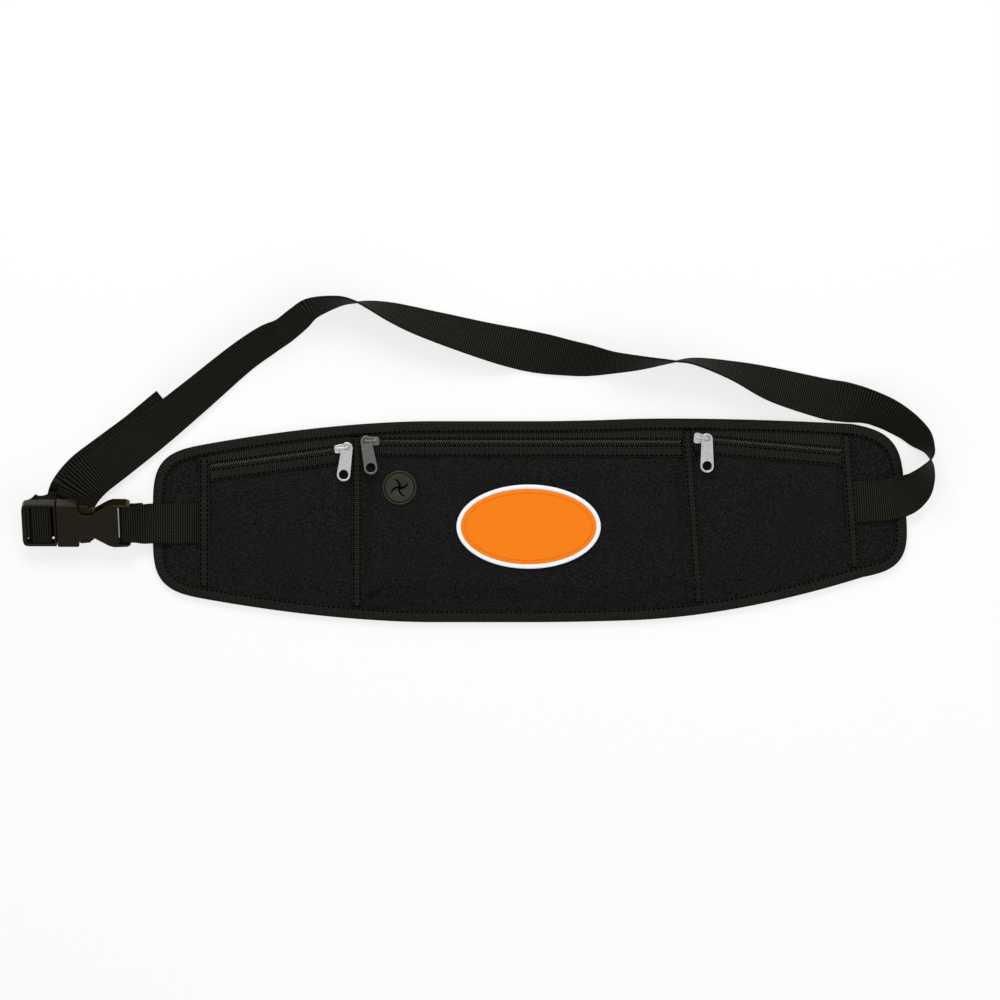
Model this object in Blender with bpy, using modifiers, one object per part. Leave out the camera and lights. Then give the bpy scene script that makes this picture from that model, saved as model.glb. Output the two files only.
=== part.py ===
"""Waist pack: a stretch running belt with three zipped pockets, laid on its back with its belt buckled.

Metres, +Z up. The origin is the middle of the back panel's flat face. +X runs along the pack to the
end where the strap is sewn, +Y to the zipped edge, and +Z out of the front.

Pack coordinates are (along, across): along the pack from its middle, and across it from its centre
line. laid() turns them into x and y, with the right-hand end lying bent up a little.
"""

import math

import bmesh
import bpy
from mathutils import Matrix, Vector

GAP = 0.0003  # between pieces that touch

# The pack's outline
PACK_LENGTH = 0.4587
PACK_HEIGHT = 0.1226
STRAIGHT_HALF = 0.060  # the long edges run parallel this far from the middle
TAPER_AT = 0.197  # and have come in by TAPER_DROP here
TAPER_DROP = 0.0140
TAPER_POWER = 1.75
CORNER_LENGTH = 0.0360
CORNER_POWER = 4
CORNER_ROUND = 0.225
LAY_RISE = 0.0125  # how far the right-hand end lies bent up, at TAPER_AT
LAY_STRAIGHT_FROM = 0.200  # the bend ends here
LAY_DOWN = 0.001
LAY_LEAN = 0.07  # how far its seams lean, as a slope

# Sewn layers, from the back up
BACK_THICKNESS = 0.0014
RIM_THICKNESS = 0.0008
BINDING_WIDTH = 0.0070
BINDING_THICKNESS = 0.0005
BINDING_CLIMB = 0.00045  # the binding's top layer rises by this towards its inner edge
RIM_STACK = 0.00365  # height of the bound edge
FRONT_THICKNESS = 0.0009
END_THICKNESS = 0.0007
TAPE_THICKNESS = 0.0006
SEWN_IN = 0.0020  # pieces under the binding stop this far short of the outline

# Vertical seams and the tapes on them, by their places along the pack
SEAMS = {"left_outer": -0.1979, "left_divider": -0.1049, "right_divider": 0.1000, "right_outer": 0.1958}
SEAM_TAPE_WIDTH = 0.0062
SEAM_TAPE_END_GAP = 0.0008

# Zips
ZIP_TAPE_THICKNESS = 0.0004
ZIP_LEVEL = 0.0033  # underside of the zip tapes
COIL_WIDTH = 0.0019
COIL_HEIGHT = 0.0016
LOWER_TAPE_WIDTH = 0.0038
TOP_BAND_WIDTH = 0.0079
TOP_BAND_THICKNESS = 0.0005
SLIDER_LENGTH = 0.0100
SLIDER_WIDTH = 0.0064
SLIDER_FLOOR = 0.0007  # thickness of its lower plate
SLIDER_ROOF = 0.0009
BAIL_WIRE = 0.0012
BAIL_SPAN = 0.0058  # between the middles of the bail's feet
TAB_THICKNESS = 0.0010
TAB_PITCH = 0.0164  # from the middle of its ring to the middle of its end hole
TAB_TOP_WIDTH = 0.0068
TAB_END_WIDTH = 0.0082
TAB_RING_HOLE = 0.0040
TAB_END_HOLE = 0.0058
TAB_LEVEL = 0.0086  # underside of the pull tabs, which pass over the port
# Each zip: its pocket's seams, its height above the origin at each of them, the end that the slider
# rests at, the slider's foot that carries the tab (-1 left, 1 right), and the tab's lean in degrees.
ZIPS = {
    "left": ("left_outer", "left_divider", 0.0324, 0.0447, 1, 1, -7.5),
    "centre": ("left_divider", "right_divider", 0.0480, 0.0476, -1, -1, 10.0),
    "right": ("right_divider", "right_outer", 0.0504, 0.0418, -1, 1, 0.0),
}

# Pocket fronts: how high the underside of each stands over the back panel, and its ramps
SIDE_POCKET_DEPTH = 0.0028
CENTRE_POCKET_DEPTH = 0.0049
RAMP_BOTTOM = 0.020
RAMP_SIDE = 0.008
RAMP_TOP = 0.0075

# Front fittings
PORT_AT = (-0.0788, 0.0197)
PORT_RADIUS = 0.0105
PORT_NECK_RADIUS = 0.0065
PORT_FLANGE = 0.0008
PORT_RING_WIDTH = 0.0025
PORT_RING_THICKNESS = 0.0008
PATCH_AT = (-0.0003, -0.0040)
PATCH_HALF = (0.0439, 0.0256)
PATCH_RIM = 0.0026
PATCH_THICKNESS = 0.0006
PATCH_RIM_THICKNESS = 0.0010

# Webbing
WEBBING_WIDTH = 0.0250
WEBBING_THICKNESS = 0.0012

# Buckle, in its own frame: x from the joint between its halves towards the pack, y across, z up
# from its underside. It lies rolled, with its far long side up on the folded strap.
BUCKLE_AT = (-0.2864, 0.0005)
BUCKLE_ROLL = math.radians(27)
BUCKLE_LIFT = 0.0022  # the strap's fold keeps its near side this far off the ground
BUCKLE_WIDTH = 0.0284
BUCKLE_THICKNESS = 0.0100
BUCKLE_WALL = 0.0020
BUCKLE_RAIL = 0.0017
SOCKET_LENGTH = 0.0452
PLUG_LENGTH = 0.0212
NOTCH_START = 0.0132
NOTCH_END = 0.0270
NOTCH_DEPTH = 0.0070
CAVITY_LENGTH = 0.0280
WEBBING_SLOT = 0.0022
SOCKET_BAR = 0.0050
LADDER_END_BAR = 0.0027
LADDER_SLOT = 0.0044
LADDER_BAR = 0.0088
BAR_THICKNESS = 0.0032
ARM_ROOT = 0.0012
ARM_WIDTH = 0.0024
ARM_SQUEEZE_ROOM = 0.0012  # how far the buttons stand out past the socket's inner wall

# The waist strap, by hand-chosen stations: x, y and the height of its lower edge in millimetres,
# and its roll in degrees. At roll 0 it lies flat; at 90 it stands on edge; it turns over three times.
STRAP_ROUTE = [
    (-277.5, 10.0, 1.9, 0),
    (-272.6, 18.5, 1.9, 3),
    (-265.0, 26.5, 1.8, 8),
    (-254.1, 34.9, 1.7, 12),
    (-229.7, 53.6, 1.7, 22),
    (-204.0, 74.4, 1.6, 33),
    (-176.3, 97.6, 0.1, 43),
    (-160.0, 109.0, 0.1, 46),
    (-149.5, 114.8, 0.1, 54),
    (-140.3, 122.2, 0.1, 56),
    (-132.0, 128.6, 0.1, 63),
    (-116.2, 132.8, 0.1, 79),
    (-106.1, 132.6, 0.1, 90),
    (-95.8, 130.4, 0.1, 104),
    (-84.2, 126.6, 0.1, 118),
    (-71.4, 122.2, 0.1, 129),
    (-56.7, 117.6, 0.1, 138),
    (-26.2, 109.0, 0.1, 157),
    (-2.0, 103.4, 0.1, 180),
    (21.0, 99.1, 0.1, 208),
    (35.7, 97.0, 0.1, 222),
    (50.3, 95.6, 0.1, 240),
    (68.0, 95.4, 0.1, 254),
    (87.2, 96.2, 0.1, 270),
    (101.6, 96.2, 0.1, 281),
    (125.4, 90.3, 0.1, 300),
    (150.1, 81.9, 0.1, 329),
    (178.4, 74.3, 0.1, 350),
    (192.0, 71.9, 0.1, 372),
    (206.0, 69.0, 0.1, 395),
    (216.8, 64.9, 0.1, 402),
    (224.8, 60.4, 0.1, 407),
    (231.6, 55.6, 0.1, 413),
    (237.8, 49.6, 0.1, 420),
    (242.4, 43.4, 0.1, 438),
    (243.9, 38.6, 0.1, 450),
    (243.2, 32.8, 0.3, 468),
    (239.8, 25.4, 1.6, 490),
    (234.4, 18.8, 3.6, 513),
    (226.0, 14.0, 4.5, 533),
    (214.0, 12.0, 3.6, 540),
    (196.6, 10.9, 3.0, 540),
]
ROUTE_STEPS = 3  # sections between one station and the next

# The strap's loose end lies under the strap, further from the pack.
TAIL_ROUTE = [
    (-281.9, 12.0, 0.1, 0),
    (-279.4, 18.9, 0.1, 0),
    (-271.0, 28.9, 0.1, 0),
    (-258.0, 38.9, 0.1, 0),
    (-240.0, 52.2, 0.1, 0),
    (-228.6, 61.6, 0.1, 0),
    (-219.3, 69.3, 0.1, 0),
]

ROUND_SEGMENTS = 32


def smoothstep(value):
    value = min(1.0, max(0.0, value))
    return value * value * (3 - 2 * value)


def mix(a, b, share):
    return a + (b - a) * share


# ---------------------------------------------------------------- the pack's plan


def half_height(along):
    """Half the pack's height at that place along it."""
    outward = max(0.0, abs(along) - STRAIGHT_HALF) / (TAPER_AT - STRAIGHT_HALF)
    side = PACK_HEIGHT / 2 - TAPER_DROP * outward**TAPER_POWER
    into_corner = max(0.0, abs(along) - (PACK_LENGTH / 2 - CORNER_LENGTH)) / CORNER_LENGTH
    return side * max(0.0, 1 - into_corner**CORNER_POWER) ** CORNER_ROUND


def rise(along):
    return LAY_RISE * (min(max(along, 0.0), LAY_STRAIGHT_FROM) / TAPER_AT) ** 2 - LAY_DOWN


def lean(along):
    return LAY_LEAN * smoothstep(along / SEAMS["right_divider"])


def laid(along, across):
    return Vector((along - lean(along) * across, rise(along) + across))


def outline(count):
    """Points round the pack with their inward normals, counterclockwise."""
    points = []
    for i in range(count):
        turn = math.tau * i / count
        along = PACK_LENGTH / 2 * math.cos(turn)
        # cos bunches the points at the two ends, where the outline turns
        across = math.copysign(half_height(along), math.sin(turn)) if i % (count // 2) else 0.0
        points.append(laid(along, across))
    normals = []
    for i, point in enumerate(points):
        chord = points[(i + 1) % count] - points[i - 1]
        normals.append(Vector((-chord.y, chord.x)).normalized())
    return list(zip(points, normals))


def zip_ends(side):
    """The zip's line, as its two points on the pocket's seams."""
    left_seam, right_seam, left_y, right_y = ZIPS[side][:4]
    return tuple(
        Vector((seam_x(seam, y), y)) for seam, y in ((left_seam, left_y), (right_seam, right_y))
    )


def seam_x(seam, y):
    """Where a seam is, at that height on the pack."""
    along = SEAMS[seam]
    return along - lean(along) * (y - rise(along))


def zip_across(side, along):
    """How far the zip's line is from the pack's centre line there."""
    left, right = zip_ends(side)
    slope = (right.y - left.y) / (right.x - left.x)
    across = left.y + slope * (along - left.x) - rise(along)
    x = laid(along, across).x
    return left.y + slope * (x - left.x) - rise(along)


# ---------------------------------------------------------------- making objects


def clear_scene():
    for obj in list(bpy.data.objects):
        bpy.data.objects.remove(obj, do_unlink=True)


def new_collection(name):
    collection = bpy.data.collections.new(name)
    bpy.context.scene.collection.children.link(collection)
    return collection


def finish(name, colour, roughness, metallic=0.0):
    material = bpy.data.materials.new(name)
    material.use_nodes = True
    shader = material.node_tree.nodes["Principled BSDF"]
    shader.inputs["Base Color"].default_value = (*colour, 1.0)
    shader.inputs["Roughness"].default_value = roughness
    shader.inputs["Metallic"].default_value = metallic
    return material


def add(name, mesh, material, parent=None):
    """A named object in the part's collection."""
    obj = bpy.data.objects.new(name, mesh)
    mesh.materials.append(material)
    pack.objects.link(obj)
    obj.parent = parent
    return obj


def mesh_of(bm, name):
    mesh = bpy.data.meshes.new(name)
    bm.to_mesh(mesh)
    bm.free()
    return mesh


def sheet(name, place, columns, rows, thickness, material, offset=1, parent=None):
    """A sheet over a grid: place(u, v) gives its underside, or its middle with offset 0."""
    bm = bmesh.new()
    bmesh.ops.create_grid(bm, x_segments=columns, y_segments=rows, size=0.5)
    for vert in bm.verts:
        vert.co = place(vert.co.x + 0.5, vert.co.y + 0.5)
    obj = add(name, mesh_of(bm, name), material, parent)
    solid = obj.modifiers.new("thickness", "SOLIDIFY")
    solid.thickness = thickness
    solid.offset = offset
    obj.data.shade_smooth()
    return obj


def bridged_rings(bm, rings, closed):
    """Faces between each ring of points and the next, and from the last to the first if closed."""
    made = [[bm.verts.new(point) for point in ring] for ring in rings]
    pairs = list(zip(made, made[1:])) + ([(made[-1], made[0])] if closed else [])
    for lower, upper in pairs:
        for i in range(len(lower)):
            bm.faces.new((lower[i - 1], lower[i], upper[i], upper[i - 1]))
    if not closed:
        bm.faces.new(reversed(made[0]))
        bm.faces.new(made[-1])


def rimmed(name, profile, material, closed):
    """A piece that follows the pack's outline. Its profile is (distance in from it, height)."""
    edge = outline(OUTLINE_POINTS)
    bm = bmesh.new()
    rings = [[(*(point + normal * inward), z) for point, normal in edge] for inward, z in profile]
    bridged_rings(bm, rings, closed)
    bmesh.ops.recalc_face_normals(bm, faces=bm.faces)
    return add(name, mesh_of(bm, name), material)


def flat_plate(name, loops, bottom, thickness, material, parent=None, round_edge=0.0):
    """A plate cut to a flat outline with holes, each loop a list of points."""
    curve = bpy.data.curves.new(name, "CURVE")
    curve.dimensions = "2D"
    curve.fill_mode = "BOTH"
    curve.extrude = thickness / 2
    for loop in loops:
        spline = curve.splines.new("POLY")
        spline.points.add(len(loop) - 1)
        for point, at in zip(spline.points, loop):
            point.co = (at[0], at[1], 0.0, 1.0)
        spline.use_cyclic_u = True
    guide = bpy.data.objects.new(name + "_outline", curve)
    pack.objects.link(guide)
    bpy.context.view_layer.update()
    graph = bpy.context.evaluated_depsgraph_get()
    mesh = bpy.data.meshes.new_from_object(guide.evaluated_get(graph))
    bpy.data.objects.remove(guide, do_unlink=True)
    mesh.name = name
    bm = bmesh.new()
    bm.from_mesh(mesh)
    bmesh.ops.remove_doubles(bm, verts=bm.verts, dist=0.00001)
    bmesh.ops.translate(bm, verts=bm.verts, vec=(0, 0, bottom + thickness / 2))
    bmesh.ops.recalc_face_normals(bm, faces=bm.faces)
    bm.to_mesh(mesh)
    bm.free()
    mesh.materials.clear()
    obj = add(name, mesh, material, parent)
    if round_edge:
        bevel = obj.modifiers.new("edge", "BEVEL")
        bevel.width = round_edge
        bevel.segments = 1
        bevel.limit_method = "ANGLE"
        bevel.angle_limit = math.radians(50)
    return obj


def box_mesh(name, low, high):
    bm = bmesh.new()
    bmesh.ops.create_cube(bm, size=1.0)
    low, high = Vector(low), Vector(high)
    for vert in bm.verts:
        for axis in range(3):
            vert.co[axis] = mix(low[axis], high[axis], vert.co[axis] + 0.5)
    return mesh_of(bm, name)


def helper(name, mesh, parent=None):
    """A cutter, or a solid that another takes in. It isn't a piece."""
    obj = bpy.data.objects.new(name, mesh)
    helpers.objects.link(obj)
    obj.parent = parent
    obj.hide_render = True
    obj.display_type = "WIRE"
    return obj


def boolean(obj, other, operation):
    modifier = obj.modifiers.new(other.name, "BOOLEAN")
    modifier.object = other
    modifier.operation = operation


def cut_box(obj, name, low, high, parent=None):
    boolean(obj, helper(name, box_mesh(name, low, high), parent), "DIFFERENCE")


def join_box(obj, name, low, high, parent=None):
    boolean(obj, helper(name, box_mesh(name, low, high), parent), "UNION")


def empty(name, matrix):
    obj = bpy.data.objects.new(name, None)
    pack.objects.link(obj)
    obj.matrix_world = matrix
    return obj


def arc(centre, radius, start, end, count):
    """Points on an arc, with its angles in degrees."""
    angles = [math.radians(mix(start, end, i / count)) for i in range(count + 1)]
    return [(centre[0] + radius * math.cos(a), centre[1] + radius * math.sin(a)) for a in angles]


def circle(centre, radius, count=ROUND_SEGMENTS):
    return arc(centre, radius, 0, 360, count)[:-1]


def ellipse(centre, half, count):
    return [(centre[0] + half[0] * x, centre[1] + half[1] * y) for x, y in circle((0, 0), 1, count)]


# ---------------------------------------------------------------- heights of the sewn layers

BINDING_UNDER = RIM_STACK - BINDING_THICKNESS  # underside of its top layer, at the outline
PANEL_RIM = BINDING_THICKNESS + GAP
LAYER_ON_RIM = PANEL_RIM + RIM_THICKNESS + GAP
SEAM_LEVEL = BACK_THICKNESS + GAP  # underside of the fronts where they are sewn to the back
FRONT_TOP_EDGE = ZIP_LEVEL + ZIP_TAPE_THICKNESS - FRONT_THICKNESS
TOP_BAND_LEVEL = ZIP_LEVEL + ZIP_TAPE_THICKNESS + GAP
TAPE_FROM_COIL = COIL_WIDTH / 2 + GAP
LOWER_TAPE_END = TAPE_FROM_COIL + LOWER_TAPE_WIDTH
FRONT_FROM_COIL = LOWER_TAPE_END + GAP
TOP_BAND_FROM = TAPE_FROM_COIL + 0.0002
TOP_BAND_END = TOP_BAND_FROM + TOP_BAND_WIDTH
OUTLINE_POINTS = 96
WEBBING_LEVEL = LAYER_ON_RIM + END_THICKNESS + GAP  # underside of webbing sewn on an end panel
WEBBING_ACROSS = {"left_outer": -0.0021, "right_outer": 0.0109}  # y of its middle at the seam


def pocket_depth(side):
    return CENTRE_POCKET_DEPTH if side == "centre" else SIDE_POCKET_DEPTH


def front_level(side, along, across):
    """Height of the underside of a pocket's front."""
    left_seam, right_seam = ZIPS[side][:2]
    crown = BACK_THICKNESS + pocket_depth(side)
    from_side = min(along - SEAMS[left_seam], SEAMS[right_seam] - along) - SEAM_TAPE_WIDTH / 2
    from_bottom = half_height(along) + across - BINDING_WIDTH
    from_top = zip_across(side, along) - TOP_BAND_END - across
    return min(
        mix(SEAM_LEVEL, crown, smoothstep(from_side / RAMP_SIDE)),
        mix(LAYER_ON_RIM, crown, smoothstep(from_bottom / RAMP_BOTTOM)),
        mix(FRONT_TOP_EDGE, crown, smoothstep(from_top / RAMP_TOP)),
    )


# ---------------------------------------------------------------- the pack's body


def back_panel(material):
    inner = BINDING_WIDTH + GAP
    profile = [
        (inner + 0.0008, 0.0),
        (inner, 0.0),
        (inner, PANEL_RIM),
        (BINDING_THICKNESS + GAP, PANEL_RIM),
        (BINDING_THICKNESS + GAP, PANEL_RIM + RIM_THICKNESS),
        (inner, PANEL_RIM + RIM_THICKNESS),
        (inner + 0.0008, BACK_THICKNESS),
    ]
    return rimmed("back_panel", profile, material, closed=False)


def edge_binding(material):
    """A C-shaped fold round the whole edge: under the back panel, over everything else."""
    wall = BINDING_THICKNESS
    profile = [
        (BINDING_WIDTH, 0.0),
        (0.0, 0.0),
        (0.0, RIM_STACK),
        (BINDING_WIDTH, RIM_STACK + BINDING_CLIMB),
        (BINDING_WIDTH, BINDING_UNDER + BINDING_CLIMB),
        (wall, BINDING_UNDER),
        (wall, wall),
        (BINDING_WIDTH, wall),
    ]
    return rimmed("edge_binding", profile, material, closed=True)


def pocket_front(side, material):
    left_seam, right_seam = ZIPS[side][:2]
    columns, rows = (27, 14) if side == "centre" else (13, 12)
    left, right = SEAMS[left_seam], SEAMS[right_seam]
    clear_of_tape = SEAM_TAPE_WIDTH / 2 + 2 * GAP

    def place(u, v):
        # the first and last columns are the strips under the seam tapes
        column = round(u * columns)
        along = mix(left + clear_of_tape, right - clear_of_tape, (column - 1) / (columns - 2))
        along = min(max(along, left + GAP), right - GAP)
        bottom = SEWN_IN - half_height(along)
        zip_at = zip_across(side, along)
        # the last row of faces is the strip under the pocket-top binding
        row = round(v * rows)
        across = mix(bottom, zip_at - TOP_BAND_END - GAP, row / (rows - 1))
        across = min(across, zip_at - FRONT_FROM_COIL)
        return (*laid(along, across), front_level(side, along, across))

    return sheet(f"pocket_front_{side}", place, columns, rows, FRONT_THICKNESS, material)


def end_panel(name, seam, material):
    start = SEAMS[seam]
    sign = math.copysign(1, start)
    stop = sign * (PACK_LENGTH / 2 - SEWN_IN)

    def place(u, v):
        along = mix(start + sign * GAP, stop, math.sin(u * math.pi / 2))
        # taken a little further out, the outline also keeps clear round the corners
        across = (2 * v - 1) * (half_height(along + sign * 0.8 * SEWN_IN) - SEWN_IN)
        return (*laid(along, across), LAYER_ON_RIM)

    return sheet(name, place, 7, 8, END_THICKNESS, material, offset=sign)


def seam_tape(seam, material):
    """A tape sewn over a vertical seam, from the binding at one edge to the binding at the other."""
    along = SEAMS[seam]
    reach = half_height(along) - BINDING_WIDTH - SEAM_TAPE_END_GAP
    zips = [side for side in ZIPS if seam in ZIPS[side][:2]]
    low = SEAM_LEVEL + FRONT_THICKNESS + GAP
    high = ZIP_LEVEL + ZIP_TAPE_THICKNESS + GAP
    over_webbing = WEBBING_LEVEL + WEBBING_THICKNESS + GAP

    def place(u, v):
        across = mix(-reach, reach, u)
        zip_at = min(zip_across(side, along) for side in zips)
        level = mix(low, high, smoothstep((across - zip_at + TOP_BAND_END + 0.006) / 0.004))
        if seam in WEBBING_ACROSS:
            off = abs(rise(along) + across - WEBBING_ACROSS[seam]) - WEBBING_WIDTH / 2
            level = max(level, mix(over_webbing, low, smoothstep((off - 0.0005) / 0.004)))
        return (*laid(along + (0.5 - v) * SEAM_TAPE_WIDTH, across), level)

    return sheet(f"seam_tape_{seam}", place, 36, 1, TAPE_THICKNESS, material)


# ---------------------------------------------------------------- zips


def zip_frame(side):
    """The zip's frame: its origin on the coil's middle at the left seam, x along it, y across."""
    left, right = zip_ends(side)
    direction = (right - left).normalized()
    turn = Matrix.Rotation(math.atan2(direction.y, direction.x), 4, "Z")
    return Matrix.Translation((left.x, left.y, 0)) @ turn, (right - left).length


def zip_limits(side):
    """Where the zip shows between its seam tapes, along its own line."""
    length = zip_frame(side)[1]
    return SEAM_TAPE_WIDTH / 2 + GAP, length - SEAM_TAPE_WIDTH / 2 - GAP


def slider_place(side):
    """The slider's middle at rest, along the zip's line."""
    start, stop = zip_limits(side)
    at_left = ZIPS[side][4] < 0
    return start + SLIDER_LENGTH / 2 + GAP if at_left else stop - SLIDER_LENGTH / 2 - GAP


def zip_tape_upper(side, material):
    frame, length = zip_frame(side)
    start, stop = zip_limits(side)
    into_seam = SEAM_TAPE_WIDTH / 3
    level_to = SLIDER_WIDTH / 2 + 0.0002

    def place(u, v):
        inner = frame @ Vector((mix(start - into_seam, stop + into_seam, u), TAPE_FROM_COIL, 0))
        top = half_height(inner.x) - SEWN_IN + rise(inner.x)
        # four rows: the coil's edge, just past the slider, the binding's edge, the sewn edge
        bound = top - BINDING_WIDTH + SEWN_IN
        ys = (inner.y, inner.y - TAPE_FROM_COIL + level_to, bound, top)
        under_binding = BINDING_UNDER + BINDING_CLIMB - 2 * GAP - ZIP_TAPE_THICKNESS
        levels = (ZIP_LEVEL, ZIP_LEVEL - GAP, under_binding, LAYER_ON_RIM)
        row = round(3 * v)
        return (inner.x, ys[row], levels[row])

    columns = max(8, round(length / 0.009))
    return sheet(f"zip_tape_upper_{side}", place, columns, 3, ZIP_TAPE_THICKNESS, material)


def zip_strip(name, side, near, far, near_level, far_level, thickness, under_seam, material):
    """A strip below the coil, near and far being its distances from the coil's middle."""
    frame, length = zip_frame(side)
    start, stop = zip_limits(side)
    left_seam, right_seam, left_y, right_y = ZIPS[side][:4]
    slope = (right_y - left_y) / length

    def place(u, v):
        below = mix(far, near, v)
        # the ends follow the seams, which don't stand square to the zip
        start_here = start - under_seam + below * (lean(SEAMS[left_seam]) - slope)
        stop_here = stop + under_seam + below * (lean(SEAMS[right_seam]) - slope)
        at = mix(start_here, stop_here, u)
        return frame @ Vector((at, -below, mix(far_level, near_level, v)))

    columns = max(8, round(length / 0.012))
    return sheet(name, place, columns, 1, thickness, material)


def zip_coil(side, material):
    """The closed chain, as its outer shape. It stops at the slider's post."""
    frame, _ = zip_frame(side)
    start, stop = zip_limits(side)
    post = slider_place(side) + ZIPS[side][4] * POST_INNER
    low, high = (post + GAP, stop) if ZIPS[side][4] < 0 else (start, post - GAP)
    middle = ZIP_LEVEL + ZIP_TAPE_THICKNESS / 2
    half = COIL_WIDTH / 2
    low_corner = (low, -half, middle - COIL_HEIGHT / 2)
    high_corner = (high, half, middle + COIL_HEIGHT / 2)
    name = f"zip_coil_{side}"
    obj = add(name, box_mesh(name, low_corner, high_corner), material)
    obj.matrix_world = frame
    return obj


# The slider's own levels
ROOM_IN_SLIDER = 0.0007  # below and above the tapes
SLIDER_UNDERSIDE = ZIP_LEVEL - ROOM_IN_SLIDER - SLIDER_FLOOR
SLIDER_ROOF_LEVEL = TOP_BAND_LEVEL + TOP_BAND_THICKNESS + 0.0004
SLIDER_TOP = SLIDER_ROOF_LEVEL + SLIDER_ROOF
BAIL_UNDERSIDE = TAB_LEVEL + TAB_THICKNESS + GAP
POST_INNER = 0.0012  # the post runs from here to POST_OUTER, towards the slider's nose
POST_OUTER = 0.0042
POST_WIDTH = 0.0016


def slider_outline():
    """The plates' outline, with the wide nose at +x."""
    half, long = SLIDER_WIDTH / 2, SLIDER_LENGTH / 2
    side = [(-long, half * 0.62), (-long + 0.0012, half * 0.8), (0.0, half * 0.86), (long * 0.45, half)]
    side += [(long - 0.0009, half), (long, half * 0.7)]
    return [(x, -y) for x, y in side] + [(x, y) for x, y in reversed(side)]


def slider(side, material):
    """Two plates joined by a post at the nose, and the bail that the pull tab hangs on."""
    frame, _ = zip_frame(side)
    nose = ZIPS[side][4]
    joint = empty(f"zip_slide_{side}", frame @ Matrix.Translation((slider_place(side), 0, 0)))
    loop = [(nose * x, nose * y) for x, y in slider_outline()]
    name = f"zip_slider_{side}"
    obj = flat_plate(name, [loop], SLIDER_ROOF_LEVEL, SLIDER_ROOF, material, joint)
    floor = flat_plate(name + "_floor", [loop], SLIDER_UNDERSIDE, SLIDER_FLOOR, material, joint)
    pack.objects.unlink(floor)
    helpers.objects.link(floor)
    floor.hide_render = True
    floor.display_type = "WIRE"
    ends = sorted((nose * POST_INNER, nose * POST_OUTER))
    sunk = SLIDER_FLOOR / 2
    half = BAIL_WIRE / 2
    top = BAIL_UNDERSIDE + BAIL_WIRE
    low = (ends[0], -POST_WIDTH / 2, SLIDER_UNDERSIDE + sunk)
    join_box(obj, name + "_post", low, (ends[1], POST_WIDTH / 2, SLIDER_TOP - sunk), joint)
    boolean(obj, floor, "UNION")
    for foot in (-1, 1):
        x = foot * BAIL_SPAN / 2
        low = (x - half, -half, SLIDER_TOP - sunk)
        join_box(obj, f"{name}_foot_{foot + 1}", low, (x + half, half, top - half), joint)
    reach = BAIL_SPAN / 2 + half
    join_box(obj, name + "_bail", (-reach, -half, BAIL_UNDERSIDE), (reach, half, top), joint)
    return joint


def pull_tab(side, joint, material):
    """A flat tab hanging across the pocket, with its ring round one foot of the bail."""
    foot, angle = ZIPS[side][5:]
    frame_turn = zip_frame(side)[0].to_euler().z
    pivot = empty(f"zip_pull_swivel_{side}", Matrix())
    pivot.parent = joint
    turn = Matrix.Rotation(math.radians(angle) - frame_turn, 4, "Z")
    pivot.matrix_local = Matrix.Translation((foot * BAIL_SPAN / 2, 0, 0)) @ turn
    end = (0.0, -TAB_PITCH)
    top, low = TAB_TOP_WIDTH / 2, TAB_END_WIDTH / 2
    outer = arc((0, 0), top, 0, 180, 12) + arc(end, low, 180, 360, 14)
    loops = [outer, circle((0, 0), TAB_RING_HOLE / 2, 20), circle(end, TAB_END_HOLE / 2, 24)]
    return flat_plate(f"zip_pull_{side}", loops, TAB_LEVEL, TAB_THICKNESS, material, pivot)


# ---------------------------------------------------------------- front fittings


def front_top(side):
    return BACK_THICKNESS + pocket_depth(side) + FRONT_THICKNESS


def turned(name, profile, centre, material):
    """A ring turned about an upright axis, from a closed profile of (radius, height)."""
    bm = bmesh.new()
    verts = [bm.verts.new((r, 0, z)) for r, z in profile]
    for i in range(len(verts)):
        bm.edges.new((verts[i - 1], verts[i]))
    obj = add(name, mesh_of(bm, name), material)
    obj.location = (*centre, 0)
    screw = obj.modifiers.new("turn", "SCREW")
    screw.steps = screw.render_steps = ROUND_SEGMENTS
    screw.use_merge_vertices = True
    screw.merge_threshold = 0.00001
    return obj


def port(front, rubber, plastic):
    """A rubber grommet through the centre pocket's front, and the ring that backs it inside."""
    top = front_top("centre")
    flange = top + GAP
    inside = top - FRONT_THICKNESS - GAP
    bottom = inside - PORT_RING_THICKNESS
    face = flange + PORT_FLANGE
    lip = 0.0006
    grommet = [
        (PORT_RADIUS, flange),
        (PORT_NECK_RADIUS, flange),
        (PORT_NECK_RADIUS, bottom),
        (PORT_NECK_RADIUS - 0.0012, bottom),
        (PORT_NECK_RADIUS - 0.0012, face - 0.0010),
        (0.0003, face - 0.0010),
        (0.0003, face - 0.0002),
        (PORT_RADIUS - 0.0014, face - 0.0002),
        (PORT_RADIUS - 0.0014 + lip / 2, face),
        (PORT_RADIUS - lip / 2, face),
        (PORT_RADIUS, face - lip),
    ]
    turned("port_grommet", grommet, PORT_AT, rubber)
    inner = PORT_NECK_RADIUS + GAP
    outer = inner + PORT_RING_WIDTH
    ring = [(outer, inside), (outer, bottom), (inner, bottom), (inner, inside)]
    turned("port_backing_ring", ring, PORT_AT, plastic)
    bm = bmesh.new()
    bmesh.ops.create_cone(
        bm, cap_ends=True, segments=ROUND_SEGMENTS, radius1=inner, radius2=inner, depth=0.01
    )
    cutter = helper("port_hole", mesh_of(bm, "port_hole"))
    cutter.location = (*PORT_AT, top)
    boolean(front, cutter, "DIFFERENCE")


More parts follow.
